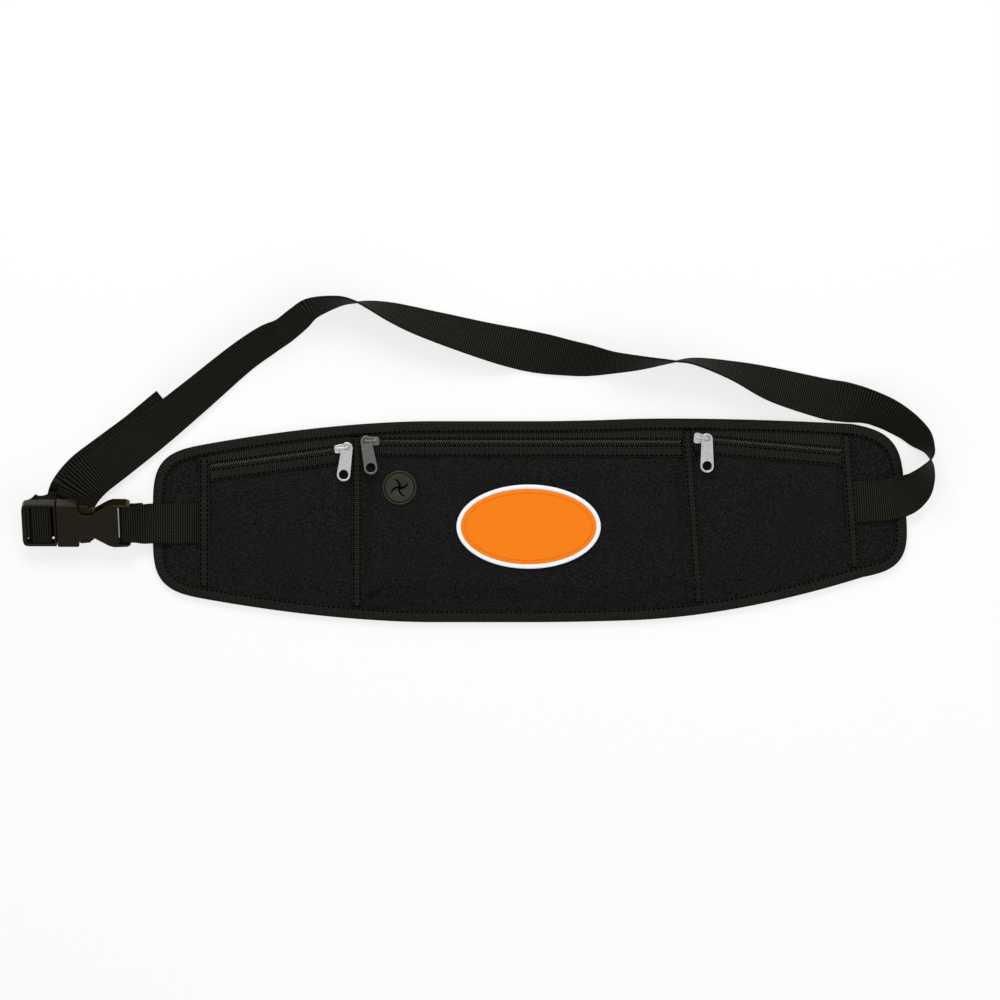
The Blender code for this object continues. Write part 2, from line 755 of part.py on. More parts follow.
def oval_patch(colour, pale):
    level = front_top("centre") + GAP
    inner = tuple(size - PATCH_RIM for size in PATCH_HALF)
    hole = tuple(size + GAP for size in inner)
    flat_plate("oval_patch", [ellipse(PATCH_AT, inner, 48)], level, PATCH_THICKNESS, colour)
    loops = [ellipse(PATCH_AT, PATCH_HALF, 48), ellipse(PATCH_AT, hole, 48)]
    flat_plate("oval_patch_rim", loops, level, PATCH_RIM_THICKNESS, pale)


# ---------------------------------------------------------------- webbing


def between(points, steps):
    """A smooth curve through the points, with that many sections from each to the next."""
    points = [Vector(point) for point in points]
    curve = []
    for i in range(len(points) - 1):
        before = points[i - 1] if i else 2 * points[0] - points[1]
        after = points[i + 2] if i + 2 < len(points) else 2 * points[-1] - points[-2]
        for step in range(steps):
            t = step / steps
            a = -0.5 * t + t * t - 0.5 * t**3
            b = 1 - 2.5 * t * t + 1.5 * t**3
            c = 0.5 * t + 2 * t * t - 1.5 * t**3
            d = -0.5 * t * t + 0.5 * t**3
            curve.append(a * before + b * points[i] + c * points[i + 1] + d * after)
    return curve + [points[-1]]


def route_sections(route):
    """Turns stations of (x, y, lower edge, roll) into (middle, direction across) sections."""
    stations = between([(x / 1000, y / 1000, z / 1000, roll) for x, y, z, roll in route], ROUTE_STEPS)
    sections = []
    for i, station in enumerate(stations):
        ahead = stations[min(i + 1, len(stations) - 1)] - stations[max(i - 1, 0)]
        left = Vector((-ahead.y, ahead.x, 0)).normalized()
        roll = math.radians(station[3])
        across = left * math.cos(roll) + Vector((0, 0, math.sin(roll)))
        lift = WEBBING_WIDTH / 2 * abs(math.sin(roll)) + WEBBING_THICKNESS / 2 * abs(math.cos(roll))
        sections.append((Vector((station.x, station.y, station.z + lift)), across))
    return sections


def ribbon(name, sections, width, material, parent=None):
    last = len(sections) - 1

    def place(u, v):
        middle, across = sections[round(u * last)]
        return middle + across * (width * (v - 0.5))

    return sheet(name, place, last, 1, WEBBING_THICKNESS, material, offset=0, parent=parent)


def buckle_point(x, y, z):
    return buckle_frame @ Vector((x, y, z))


def rolled_sections(points):
    """Sections through points of the buckle's frame, across the buckle."""
    across = (buckle_frame.to_3x3() @ Vector((0, 1, 0))).normalized()
    return [(buckle_point(x, 0, z), across) for x, z in points]


def around_bar(start, stop, level, thickness):
    """Points of the webbing's middle round a bar, from above it on one side to below it."""
    out = GAP + WEBBING_THICKNESS / 2
    top, bottom = level + thickness / 2 + out, level - thickness / 2 - out
    left, right = start - out, stop + out
    cut = 0.0006
    loop = [(right, top), (left + cut, top), (left, top - cut), (left, bottom + cut), (left + cut, bottom)]
    return loop + [(right, bottom)]


def short_webbing(material):
    """Webbing sewn to the pack's left end, folded round the socket's bar and back under itself."""
    bar_end = SOCKET_LENGTH - 0.0009
    wrap = around_bar(bar_end - SOCKET_BAR, bar_end, BUCKLE_THICKNESS / 2, BAR_THICKNESS)
    rolled = rolled_sections(wrap)
    y = WEBBING_ACROSS["left_outer"]
    edge = -PACK_LENGTH / 2
    flat = Vector((0, 1, 0))
    over_binding = RIM_STACK + BINDING_CLIMB + GAP + WEBBING_THICKNESS / 2
    sewn = WEBBING_LEVEL + WEBBING_THICKNESS / 2
    pack_end = [
        (Vector((SEAMS["left_outer"] - GAP, y, sewn)), flat),
        (Vector((edge + BINDING_WIDTH + 0.007, y, sewn)), flat),
        (Vector((edge + BINDING_WIDTH + 0.002, y, over_binding + 0.0003)), flat),
        (Vector((edge - 0.001, y, over_binding + 0.0006)), flat),
    ]
    approach = blended(pack_end[-1], rolled[0], 5)
    under = blended(rolled[-1], (Vector((edge - 0.003, y, over_binding - 0.0022)), flat), 4)
    sections = pack_end + approach + rolled + under[:-1]
    return ribbon("webbing_short", sections, WEBBING_WIDTH - 0.0006, material)


def blended(first, last, count):
    """Sections between two sections, which may be turned differently."""
    made = []
    for i in range(1, count):
        share = i / count
        across = first[1].lerp(last[1], smoothstep(share)).normalized()
        made.append((first[0].lerp(last[0], share), across))
    return made


def strap_tail(material, parent):
    """The strap's turn round the plug's bar, and its loose end lying under the strap."""
    bar_start = -PLUG_LENGTH + LADDER_END_BAR + LADDER_SLOT
    wrap = around_bar(bar_start, bar_start + LADDER_BAR, BUCKLE_THICKNESS / 2, BAR_THICKNESS)
    right, top = wrap[0]
    out = GAP + WEBBING_THICKNESS / 2
    cut = 0.0006
    over = [(right, -0.0008), (right, top - cut), (right - cut, top)] + wrap[1:3]
    # it slants down across the plug's outer slot, then turns back under the buckle
    down = [(wrap[2][0] - 0.0038, -0.0010), (wrap[2][0] - 0.0026, -0.0010 - out)]
    rolled = rolled_sections(over + down)
    lap = rolled_sections([(0.0065, -out - GAP), (0.0010, -out - GAP)])
    tail = route_sections(TAIL_ROUTE)
    joined = blended(rolled[-1], tail[0], 7)
    sections = lap + rolled + joined + tail
    obj = ribbon("strap_tail", sections, WEBBING_WIDTH - 0.0008, material)
    keep_place_under(obj, parent)
    return obj


def keep_place_under(obj, parent):
    obj.parent = parent
    obj.matrix_parent_inverse = parent.matrix_world.inverted()


# ---------------------------------------------------------------- buckle


def both_sides(half):
    """A closed outline from the points of its +y side, in order of rising x."""
    return [(x, -y) for x, y in half] + [(x, y) for x, y in reversed(half)]


def buckle_socket(material):
    half = BUCKLE_WIDTH / 2
    end = SOCKET_LENGTH
    waist = (NOTCH_START + NOTCH_END) / 2
    side = [
        (0.0, half),
        (NOTCH_START - 0.0006, half),
        (NOTCH_START, half - 0.0006),
        (NOTCH_START, half - 0.0030),
        (NOTCH_START + 0.0014, half - NOTCH_DEPTH + 0.0008),
        (waist - 0.0020, half - NOTCH_DEPTH),
        (waist + 0.0016, half - NOTCH_DEPTH + 0.0006),
        (NOTCH_END, half - 0.0032),
        (NOTCH_END + 0.0040, half - 0.0008),
        (NOTCH_END + 0.0070, half + 0.0002),
        (end - 0.0030, half),
        (end - 0.0008, half - 0.0012),
        (end, half - 0.0030),
    ]
    obj = flat_plate("buckle_socket", [both_sides(side)], 0, BUCKLE_THICKNESS, material, None, 0.0006)
    obj.matrix_world = buckle_frame
    top = BUCKLE_THICKNESS - BUCKLE_WALL
    inner = half - BUCKLE_RAIL - 0.0009
    cut_box(obj, "socket_cavity", (-0.001, -inner, BUCKLE_WALL), (CAVITY_LENGTH, inner, top), buckle_empty)
    bar_end = end - 0.0009
    slot_end = bar_end - SOCKET_BAR
    room = WEBBING_WIDTH / 2 + 0.0001
    low = (slot_end - WEBBING_SLOT, -room, -0.001)
    cut_box(obj, "socket_slot", low, (slot_end, room, BUCKLE_THICKNESS + 0.001), buckle_empty)
    beside = BUCKLE_THICKNESS / 2 - BAR_THICKNESS / 2
    for name, bottom, height in (("under", -0.001, beside), ("over", BUCKLE_THICKNESS - beside, 0.011)):
        low = (slot_end - 0.0004, -room, bottom)
        cut_box(obj, f"socket_bar_{name}", low, (end + 0.001, room, height), buckle_empty)
    cut_box(obj, "socket_bar_end", (bar_end, -room, -0.001), (end + 0.001, room, 0.011), buckle_empty)
    return obj


def buckle_plug(material, joint):
    """The ladder frame, with the guide that runs into the socket."""
    half = BUCKLE_WIDTH / 2
    start = -PLUG_LENGTH
    low, high = 0.0012, BUCKLE_THICKNESS - 0.0010
    side = [
        (start, half - 0.0040),
        (start + 0.0005, half - 0.0014),
        (start + 0.0018, half - 0.0003),
        (start + 0.0040, half),
        (-GAP - 0.0006, half),
        (-GAP, half - 0.0006),
    ]
    slot_start = start + LADDER_END_BAR
    bar_start = slot_start + LADDER_SLOT
    bar_stop = bar_start + LADDER_BAR
    front = -0.0018
    room = half - BUCKLE_RAIL
    name = "buckle_plug"
    obj = flat_plate(name, [both_sides(side)], low, high - low, material, joint, 0.0006)
    cut_box(obj, "plug_slot_outer", (slot_start, -room, 0), (bar_start, room, 0.012), joint)
    cut_box(obj, "plug_slot_inner", (bar_stop, -room, 0), (front, room, 0.012), joint)
    level = BUCKLE_THICKNESS / 2
    over, under = level + BAR_THICKNESS / 2, level - BAR_THICKNESS / 2
    reach = (bar_start - 0.0002, bar_stop + 0.0002)
    cut_box(obj, "plug_bar_over", (reach[0], -room, over), (reach[1], room, 0.012), joint)
    cut_box(obj, "plug_bar_under", (reach[0], -room, 0), (reach[1], room, under), joint)
    floor, roof = BUCKLE_WALL + GAP, BUCKLE_THICKNESS - BUCKLE_WALL - GAP
    guide = 0.0028
    join_box(obj, "plug_guide", (-0.0012, -guide, floor), (CAVITY_LENGTH - 0.004, guide, roof), joint)
    root = half - BUCKLE_RAIL - 0.0009 - GAP
    for sign in (-1, 1):
        sides = sorted((sign * (root - ARM_WIDTH), sign * root))
        low = (-0.0012, sides[0], floor)
        join_box(obj, f"plug_arm_root_{sign + 1}", low, (ARM_ROOT, sides[1], roof), joint)
    return obj


def release_arm(name, sign, material, joint):
    """A springy arm with a squeeze button that stands in the socket's notch."""
    inner_wall = BUCKLE_WIDTH / 2 - BUCKLE_RAIL - 0.0009
    outer = inner_wall - GAP
    start = ARM_ROOT + GAP
    button = NOTCH_START + GAP
    tip = NOTCH_END - 0.0032
    proud = inner_wall + ARM_SQUEEZE_ROOM
    side = [
        (start, outer),
        (button, outer),
        (button, proud - 0.0004),
        (button + 0.0006, proud),
        (button + 0.0060, proud - 0.0006),
        (tip, outer - 0.0030),
        (tip, outer - 0.0052),
        (button + 0.0010, outer - 0.0040),
        (button - 0.0020, outer - ARM_WIDTH),
        (start, outer - ARM_WIDTH),
    ]
    pivot_y = outer - ARM_WIDTH / 2
    loop = [(x - start, sign * (y - pivot_y)) for x, y in side]
    pivot = empty(name + "_pivot", Matrix())
    pivot.parent = joint
    pivot.matrix_local = Matrix.Translation((start, sign * pivot_y, 0))
    floor = BUCKLE_WALL + GAP
    return flat_plate(name, [loop], floor, BUCKLE_THICKNESS - 2 * floor, material, pivot)


# ---------------------------------------------------------------- the waist pack

clear_scene()
pack = new_collection("waist_pack")
helpers = new_collection("cutters")

knit = finish("knit", (0.015, 0.015, 0.016), 0.9)
tape_black = finish("woven_tape", (0.012, 0.012, 0.012), 0.8)
webbing_black = finish("webbing", (0.010, 0.010, 0.009), 0.75)
nylon = finish("zip_nylon", (0.02, 0.02, 0.02), 0.5)
silver = finish("silver_slider", (0.55, 0.55, 0.57), 0.3, 1.0)
gunmetal = finish("dark_slider", (0.10, 0.10, 0.11), 0.35, 1.0)
rubber = finish("rubber", (0.03, 0.03, 0.025), 0.6)
plastic = finish("buckle_plastic", (0.025, 0.022, 0.018), 0.35)
orange = finish("patch_orange", (0.9, 0.22, 0.02), 0.7)
pale = finish("patch_rim", (0.8, 0.8, 0.8), 0.7)

back_panel(knit)
edge_binding(tape_black)
fronts = {side: pocket_front(side, knit) for side in ZIPS}
end_panel("end_panel_left", "left_outer", knit)
end_panel("end_panel_right", "right_outer", knit)
for seam in SEAMS:
    seam_tape(seam, tape_black)

for side in ZIPS:
    zip_tape_upper(side, tape_black)
    zip_strip(
        f"zip_tape_lower_{side}", side, TAPE_FROM_COIL, LOWER_TAPE_END, ZIP_LEVEL, ZIP_LEVEL,
        ZIP_TAPE_THICKNESS, SEAM_TAPE_WIDTH / 3, tape_black,
    )
    zip_strip(
        f"pocket_top_binding_{side}", side, TOP_BAND_FROM, TOP_BAND_END, TOP_BAND_LEVEL,
        TOP_BAND_LEVEL + GAP, TOP_BAND_THICKNESS, -GAP, tape_black,
    )
    zip_coil(side, nylon)
    metal = gunmetal if side == "centre" else silver
    slide = slider(side, metal)
    pull_tab(side, slide, metal)

port(fronts["centre"], rubber, plastic)
oval_patch(orange, pale)

lowest = BUCKLE_WIDTH / 2 * math.sin(BUCKLE_ROLL) + BUCKLE_LIFT
buckle_frame = Matrix.Translation((*BUCKLE_AT, lowest)) @ Matrix.Rotation(BUCKLE_ROLL, 4, "X")
buckle_empty = empty("buckle_frame", buckle_frame)
plug_slide = empty("buckle_plug_slide", buckle_frame)
buckle_socket(plastic)
buckle_plug(plastic, plug_slide)
release_arm("buckle_arm_far", 1, plastic, plug_slide)
release_arm("buckle_arm_near", -1, plastic, plug_slide)
short_webbing(webbing_black)
ribbon("waist_strap", route_sections(STRAP_ROUTE), WEBBING_WIDTH, webbing_black)
bpy.context.view_layer.update()
strap_tail(webbing_black, plug_slide)
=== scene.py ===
"""Looks of the waist pack: its knit, tapes, webbing, zips, buckle and badge, on a white studio floor.

Metres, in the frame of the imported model: the origin is the middle of the back panel's flat face, +X
runs to the end where the strap is sewn, +Y to the zipped edge, +Z out of the front.
"""

import math

import bmesh
import bpy
from mathutils import Matrix, Vector, noise


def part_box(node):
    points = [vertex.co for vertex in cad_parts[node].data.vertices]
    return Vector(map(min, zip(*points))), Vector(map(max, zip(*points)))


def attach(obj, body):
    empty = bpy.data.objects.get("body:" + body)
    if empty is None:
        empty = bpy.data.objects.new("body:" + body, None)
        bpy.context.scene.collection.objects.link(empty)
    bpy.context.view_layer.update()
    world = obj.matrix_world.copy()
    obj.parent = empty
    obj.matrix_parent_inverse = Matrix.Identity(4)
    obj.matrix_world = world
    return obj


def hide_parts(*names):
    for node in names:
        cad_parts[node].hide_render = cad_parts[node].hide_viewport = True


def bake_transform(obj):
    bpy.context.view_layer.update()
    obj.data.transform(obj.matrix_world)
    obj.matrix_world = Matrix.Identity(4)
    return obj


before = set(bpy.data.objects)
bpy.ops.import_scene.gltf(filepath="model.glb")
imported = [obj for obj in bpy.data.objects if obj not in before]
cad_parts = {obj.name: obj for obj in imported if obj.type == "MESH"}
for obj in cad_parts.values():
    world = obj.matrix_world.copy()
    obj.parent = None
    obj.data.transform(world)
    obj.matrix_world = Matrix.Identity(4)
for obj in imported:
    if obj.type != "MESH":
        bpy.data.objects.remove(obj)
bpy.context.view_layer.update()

GAP = 0.0003  # between pieces that touch

# The pack's outline, as the part has it
PACK_LENGTH = 0.4587
PACK_HEIGHT = 0.1226
STRAIGHT_HALF = 0.060
TAPER_AT = 0.197
TAPER_DROP = 0.0140
TAPER_POWER = 1.75
CORNER_LENGTH = 0.0360
CORNER_POWER = 4
CORNER_ROUND = 0.225
LAY_RISE = 0.0125
LAY_STRAIGHT_FROM = 0.200
LAY_DOWN = 0.001
LAY_LEAN = 0.07

# Heights and widths of the sewn layers
BINDING_WIDTH = 0.0070
RIM_STACK = 0.00365
SEWN_IN = 0.0020
SEAM_LEVEL = 0.0026
RIM_LEVEL = 0.0028
SEAM_TAPE_WIDTH = 0.0062
ZIP_LEVEL = 0.0037  # top of the zip tapes
TOP_BAND_WIDTH = 0.0079
TOP_BAND_LEVEL = 0.0046
COIL_HALF = 0.00095
KNIT_THICKNESS = 0.0009
END_KNIT_THICKNESS = 0.0007
TAPE_THICKNESS = 0.0006
ZIP_TAPE_THICKNESS = 0.0004
BAND_THICKNESS = 0.0005
LOWER_TAPE_WIDTH = 0.0038
STITCHES_ABOVE_COIL = 0.0021
BINDING_STITCH_INSET = 0.0061
WEBBING_Y = {"left_outer": -0.0021, "right_outer": 0.0109}  # middle of the webbing at its seam
SLIDER_LENGTH = 0.0100
CENTRE_CROWN = 0.0071
SIDE_CROWN = 0.0051
RAMP_BOTTOM = 0.020
RAMP_SIDE = 0.010
RAMP_TOP = 0.009

SEAMS = {"left_outer": -0.1979, "left_divider": -0.1049, "right_divider": 0.1000, "right_outer": 0.1958}
# Each zip: its pocket's seams, its height above the origin at each, and the end its slider rests at
ZIPS = {
    "left": ("left_outer", "left_divider", 0.0324, 0.0447, 1),
    "centre": ("left_divider", "right_divider", 0.0480, 0.0476, -1),
    "right": ("right_divider", "right_outer", 0.0504, 0.0418, -1),
}

# Front fittings
PORT_AT = (-0.0788, 0.0197)
PORT_RADIUS = 0.0105
PATCH_AT = (-0.0003, -0.0040)
PATCH_HALF = (0.0439, 0.0256)
PATCH_RIM = 0.0027
PATCH_UNDERSIDE = 0.0075

# Webbing and buckle
WEBBING_WIDTH = 0.0250
WEBBING_THICKNESS = 0.0012
BUCKLE_AT = (-0.2864, 0.0005)
BUCKLE_ROLL = math.radians(27)
BUCKLE_LIFT = 0.0022
BUCKLE_WIDTH = 0.0284
BUCKLE_THICKNESS = 0.0100
SOCKET_LENGTH = 0.0452
SOCKET_BAR = 0.0050
PLUG_LENGTH = 0.0212
LADDER_END_BAR = 0.0027
LADDER_SLOT = 0.0044
LADDER_BAR = 0.0088
BAR_THICKNESS = 0.0032

# The waist strap's stations, as the part has them: x, y and the height of its lower edge in
# millimetres, and its roll in degrees.
STRAP_ROUTE = [
    (-277.5, 10.0, 1.9, 0),
    (-272.6, 18.5, 1.9, 3),
    (-265.0, 26.5, 1.8, 8),
    (-254.1, 34.9, 1.7, 12),
    (-229.7, 53.6, 1.7, 22),
    (-204.0, 74.4, 1.6, 33),
    (-176.3, 97.6, 0.1, 43),
    (-160.0, 109.0, 0.1, 46),
    (-149.5, 114.8, 0.1, 54),
    (-140.3, 122.2, 0.1, 56),
    (-132.0, 128.6, 0.1, 63),
    (-116.2, 132.8, 0.1, 79),
    (-106.1, 132.6, 0.1, 90),
    (-95.8, 130.4, 0.1, 104),
    (-84.2, 126.6, 0.1, 118),
    (-71.4, 122.2, 0.1, 129),
    (-56.7, 117.6, 0.1, 138),
    (-26.2, 109.0, 0.1, 157),
    (-2.0, 103.4, 0.1, 180),
    (21.0, 99.1, 0.1, 208),
    (35.7, 97.0, 0.1, 222),
    (50.3, 95.6, 0.1, 240),
    (68.0, 95.4, 0.1, 254),
    (87.2, 96.2, 0.1, 270),
    (101.6, 96.2, 0.1, 281),
    (125.4, 90.3, 0.1, 300),
    (150.1, 81.9, 0.1, 329),
    (178.4, 74.3, 0.1, 350),
    (192.0, 71.9, 0.1, 372),
    (206.0, 69.0, 0.1, 395),
    (216.8, 64.9, 0.1, 402),
    (224.8, 60.4, 0.1, 407),
    (231.6, 55.6, 0.1, 413),
    (237.8, 49.6, 0.1, 420),
    (242.4, 43.4, 0.1, 438),
    (243.9, 38.6, 0.1, 450),
    (243.2, 32.8, 0.3, 468),
    (239.8, 25.4, 1.6, 490),
    (234.4, 18.8, 3.6, 513),
    (226.0, 14.0, 4.5, 533),
    (214.0, 12.0, 3.6, 540),
    (196.6, 10.9, 3.0, 540),
]
TAIL_ROUTE = [
    (-281.9, 12.0, 0.1, 0),
    (-279.4, 18.9, 0.1, 0),
    (-271.0, 28.9, 0.1, 0),
    (-258.0, 38.9, 0.1, 0),
    (-240.0, 52.2, 0.1, 0),
    (-228.6, 61.6, 0.1, 0),
    (-219.3, 69.3, 0.1, 0),
]
ROUTE_STEPS = 8


def smoothstep(value):
    value = min(1.0, max(0.0, value))
    return value * value * (3 - 2 * value)


def mix(a, b, share):
    return a + (b - a) * share


# ---------------------------------------------------------------- the pack's plan


def half_height(along):
    """Half the pack's height at that place along it."""
    outward = max(0.0, abs(along) - STRAIGHT_HALF) / (TAPER_AT - STRAIGHT_HALF)
    side = PACK_HEIGHT / 2 - TAPER_DROP * outward**TAPER_POWER
    into_corner = max(0.0, abs(along) - (PACK_LENGTH / 2 - CORNER_LENGTH)) / CORNER_LENGTH
    return side * max(0.0, 1 - into_corner**CORNER_POWER) ** CORNER_ROUND


def rise(along):
    return LAY_RISE * (min(max(along, 0.0), LAY_STRAIGHT_FROM) / TAPER_AT) ** 2 - LAY_DOWN


def lean(along):
    return LAY_LEAN * smoothstep(along / SEAMS["right_divider"])


def laid(along, across):
    return Vector((along - lean(along) * across, rise(along) + across))


def outline(count):
    """Points round the pack with their inward normals, counterclockwise."""
    points = []
    for i in range(count):
        turn = math.tau * i / count
        along = PACK_LENGTH / 2 * math.cos(turn)
        across = math.copysign(half_height(along), math.sin(turn)) if i % (count // 2) else 0.0
        points.append(laid(along, across))
    normals = []
    for i, point in enumerate(points):
        chord = points[(i + 1) % count] - points[i - 1]
        normals.append(Vector((-chord.y, chord.x)).normalized())
    return list(zip(points, normals))


def seam_x(seam, y):
    along = SEAMS[seam]
    return along - lean(along) * (y - rise(along))


def zip_ends(side):
    left_seam, right_seam, left_y, right_y = ZIPS[side][:4]
    ends = ((left_seam, left_y), (right_seam, right_y))
    return tuple(Vector((seam_x(seam, y), y)) for seam, y in ends)


def zip_across(side, along):
    """How far the zip's line is from the pack's centre line there."""
    left, right = zip_ends(side)
    slope = (right.y - left.y) / (right.x - left.x)
    across = left.y + slope * (along - left.x) - rise(along)
    x = laid(along, across).x
    return left.y + slope * (x - left.x) - rise(along)


def zip_frame(side):
    left, right = zip_ends(side)
    direction = (right - left).normalized()
    turn = Matrix.Rotation(math.atan2(direction.y, direction.x), 4, "Z")
    return Matrix.Translation((left.x, left.y, 0)) @ turn, (right - left).length


# ---------------------------------------------------------------- materials


def new_material(name, colour, roughness):
    material = bpy.data.materials.new(name)
    material.use_nodes = True
    shader = material.node_tree.nodes["Principled BSDF"]
    shader.inputs["Base Color"].default_value = (*colour, 1.0)
    shader.inputs["Roughness"].default_value = roughness
    return material, material.node_tree, shader


def noise_node(tree, scale, detail=2.0):
    coordinates = tree.nodes.new("ShaderNodeTexCoord")
    made = tree.nodes.new("ShaderNodeTexNoise")
    made.inputs["Scale"].default_value = scale
    made.inputs["Detail"].default_value = detail
    tree.links.new(coordinates.outputs["Object"], made.inputs["Vector"])
    return made


def ribs_node(tree, period, direction):
    """Bands of that period in metres across the piece's weave map."""
    coordinates = tree.nodes.new("ShaderNodeTexCoord")
    made = tree.nodes.new("ShaderNodeTexWave")
    made.bands_direction = direction
    made.inputs["Scale"].default_value = math.tau / 20 / period  # the node's own period is tau / 20
    tree.links.new(coordinates.outputs["UV"], made.inputs["Vector"])
    return made


def coloured_by(tree, shader, source, dark, light, low=0.3, high=0.7):
    ramp = tree.nodes.new("ShaderNodeValToRGB")
    ramp.color_ramp.elements[0].position = low
    ramp.color_ramp.elements[0].color = (*dark, 1.0)
    ramp.color_ramp.elements[1].position = high
    ramp.color_ramp.elements[1].color = (*light, 1.0)
    tree.links.new(source, ramp.inputs["Fac"])
    tree.links.new(ramp.outputs["Color"], shader.inputs["Base Color"])


def bumped_by(tree, shader, source, depth, strength=1.0):
    bump = tree.nodes.new("ShaderNodeBump")
    bump.inputs["Distance"].default_value = depth
    bump.inputs["Strength"].default_value = strength
    tree.links.new(source, bump.inputs["Height"])
    tree.links.new(bump.outputs["Normal"], shader.inputs["Normal"])


def combined(tree, first, second, operation="ADD"):
    made = tree.nodes.new("ShaderNodeMath")
    made.operation = operation
    tree.links.new(first, made.inputs[0])
    tree.links.new(second, made.inputs[1])
    return made.outputs["Value"]


def knit_material():
    """Near-black heathered knit: fine grey flecks on black loops."""
    material, tree, shader = new_material("stretch_knit", (0.016, 0.016, 0.017), 0.85)
    shader.inputs["Specular IOR Level"].default_value = 0.02
    flecks = noise_node(tree, 1300, 3.0).outputs["Fac"]
    coloured_by(tree, shader, flecks, (0.0030, 0.0031, 0.0032), (0.021, 0.021, 0.021), 0.38, 0.74)
    bumped_by(tree, shader, flecks, 0.00025, 0.6)
    return material


def woven_material(name, dark, light, rib, cross_rib, depth):
    """Ribbed tape or webbing: ribs across it, crossed by finer lines along it."""
    material, tree, shader = new_material(name, light, 0.75)
    shader.inputs["Specular IOR Level"].default_value = 0.04
    ribs = ribs_node(tree, rib, "X").outputs["Fac"]
    lines = ribs_node(tree, cross_rib, "Y").outputs["Fac"]
    grain = noise_node(tree, 900).outputs["Fac"]
    weave = combined(tree, ribs, combined(tree, lines, grain), "MULTIPLY")
    coloured_by(tree, shader, weave, dark, light, 0.25, 1.1)
    bumped_by(tree, shader, ribs, depth, 0.8)
    return material


def moulded_material(name, colour, roughness, sheen, grain_scale, depth):
    """Moulded plastic or rubber with a fine grain and slight colour variation."""
    material, tree, shader = new_material(name, colour, roughness)
    shader.inputs["Specular IOR Level"].default_value = sheen
    grain = noise_node(tree, grain_scale, 4.0).outputs["Fac"]
    darker = tuple(channel * 0.94 for channel in colour)
    lighter = tuple(min(1.0, channel * 1.06) for channel in colour)
    coloured_by(tree, shader, grain, darker, lighter)
    bumped_by(tree, shader, grain, depth, 0.3)
    return material


def metal_material(name, colour, roughness):
    material, tree, shader = new_material(name, colour, roughness)
    shader.inputs["Metallic"].default_value = 1.0
    grain = noise_node(tree, 500, 4.0).outputs["Fac"]
    coloured_by(tree, shader, grain, tuple(channel * 0.8 for channel in colour), colour)
    bumped_by(tree, shader, grain, 0.00001, 0.3)
    return material


# ---------------------------------------------------------------- making pieces


def finished(name, mesh, material, body, nodes=()):
    """A piece in the scene, riding on its body and standing for those CAD nodes."""
    mesh.materials.clear()
    mesh.materials.append(material)
    obj = bpy.data.objects.new(name, mesh)
    bpy.context.scene.collection.objects.link(obj)
    mesh.shade_smooth()
    if nodes:
        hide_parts(*nodes)
    if body:
        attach(obj, body)
    return obj


def mesh_of(bm, name):
    mesh = bpy.data.meshes.new(name)
    bm.to_mesh(mesh)
    bm.free()
    return mesh


def woven_sheet(name, place, columns, rows, size, thickness, material, nodes, body="pack"):
    """Cloth over a grid: place(u, v) gives its upper face, size its length and width for the weave."""
    bm = bmesh.new()
    bmesh.ops.create_grid(bm, x_segments=columns, y_segments=rows, size=0.5)
    weave = bm.loops.layers.uv.new("weave")
    for face in bm.faces:
        for loop in face.loops:
            at = loop.vert.co
            loop[weave].uv = ((at.x + 0.5) * size[0], (at.y + 0.5) * size[1])
    for vert in bm.verts:
        vert.co = place(vert.co.x + 0.5, vert.co.y + 0.5)
    obj = finished(name, mesh_of(bm, name), material, body, nodes)
    solid = obj.modifiers.new("thickness", "SOLIDIFY")
    solid.thickness = thickness
    solid.offset = -1
    return obj


def swept(name, rings, closed_sweep, material, nodes, body="pack"):
    """A closed profile carried along a path: rings of points, one ring for each place on it."""
    bm = bmesh.new()
    weave = bm.loops.layers.uv.new("weave")
    made = [[bm.verts.new(point) for point in ring] for ring in rings]
    travelled = [0.0]
    for lower, upper in zip(rings, rings[1:] + rings[:1]):
        travelled.append(travelled[-1] + (Vector(upper[0]) - Vector(lower[0])).length)
    count = len(rings[0])
    around = [0.0]
    for j in range(count):
        around.append(around[-1] + (Vector(rings[0][j]) - Vector(rings[0][j - 1])).length)
    sweeps = len(rings) if closed_sweep else len(rings) - 1
    for i in range(sweeps):
        lower, upper = made[i], made[(i + 1) % len(made)]
        for j in range(count):
            face = bm.faces.new((lower[j - 1], lower[j], upper[j], upper[j - 1]))
            across = (around[j], around[j + 1], around[j + 1], around[j])
            alongs = (travelled[i], travelled[i], travelled[i + 1], travelled[i + 1])
            for loop, x, y in zip(face.loops, alongs, across):
                loop[weave].uv = (x, y)
    if not closed_sweep:
        bm.faces.new(list(reversed(made[0])))
        bm.faces.new(made[-1])
    bmesh.ops.recalc_face_normals(bm, faces=bm.faces)
    return finished(name, mesh_of(bm, name), material, body, nodes)


def moulded_copy(node, name, voxel, smoothing, material, body):
    """The CAD node with its edges rounded as a mould or a plated casting has them."""
    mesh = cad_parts[node].data.copy()
    mesh.name = name
    bm = bmesh.new()
    bm.from_mesh(mesh)
    bmesh.ops.remove_doubles(bm, verts=bm.verts, dist=0.000002)
    bm.to_mesh(mesh)
    bm.free()
    obj = finished(name, mesh, material, body, (node,))
    remesh = obj.modifiers.new("even", "REMESH")
    remesh.mode = "VOXEL"
    remesh.voxel_size = voxel
    remesh.use_smooth_shade = True
    smooth = obj.modifiers.new("round", "SMOOTH")
    smooth.factor = 0.5
    smooth.iterations = smoothing
    return obj


def spaced(points, pitch):
    """(place, direction) at even steps along a line of points."""
    points = [Vector(point) for point in points]
    made, left = [], pitch / 2
    for start, end in zip(points, points[1:]):
        run = (end - start).length
        at = left
        while at < run:
            made.append((start.lerp(end, at / run), (end - start).normalized()))
            at += pitch
        left = at - run
    return made


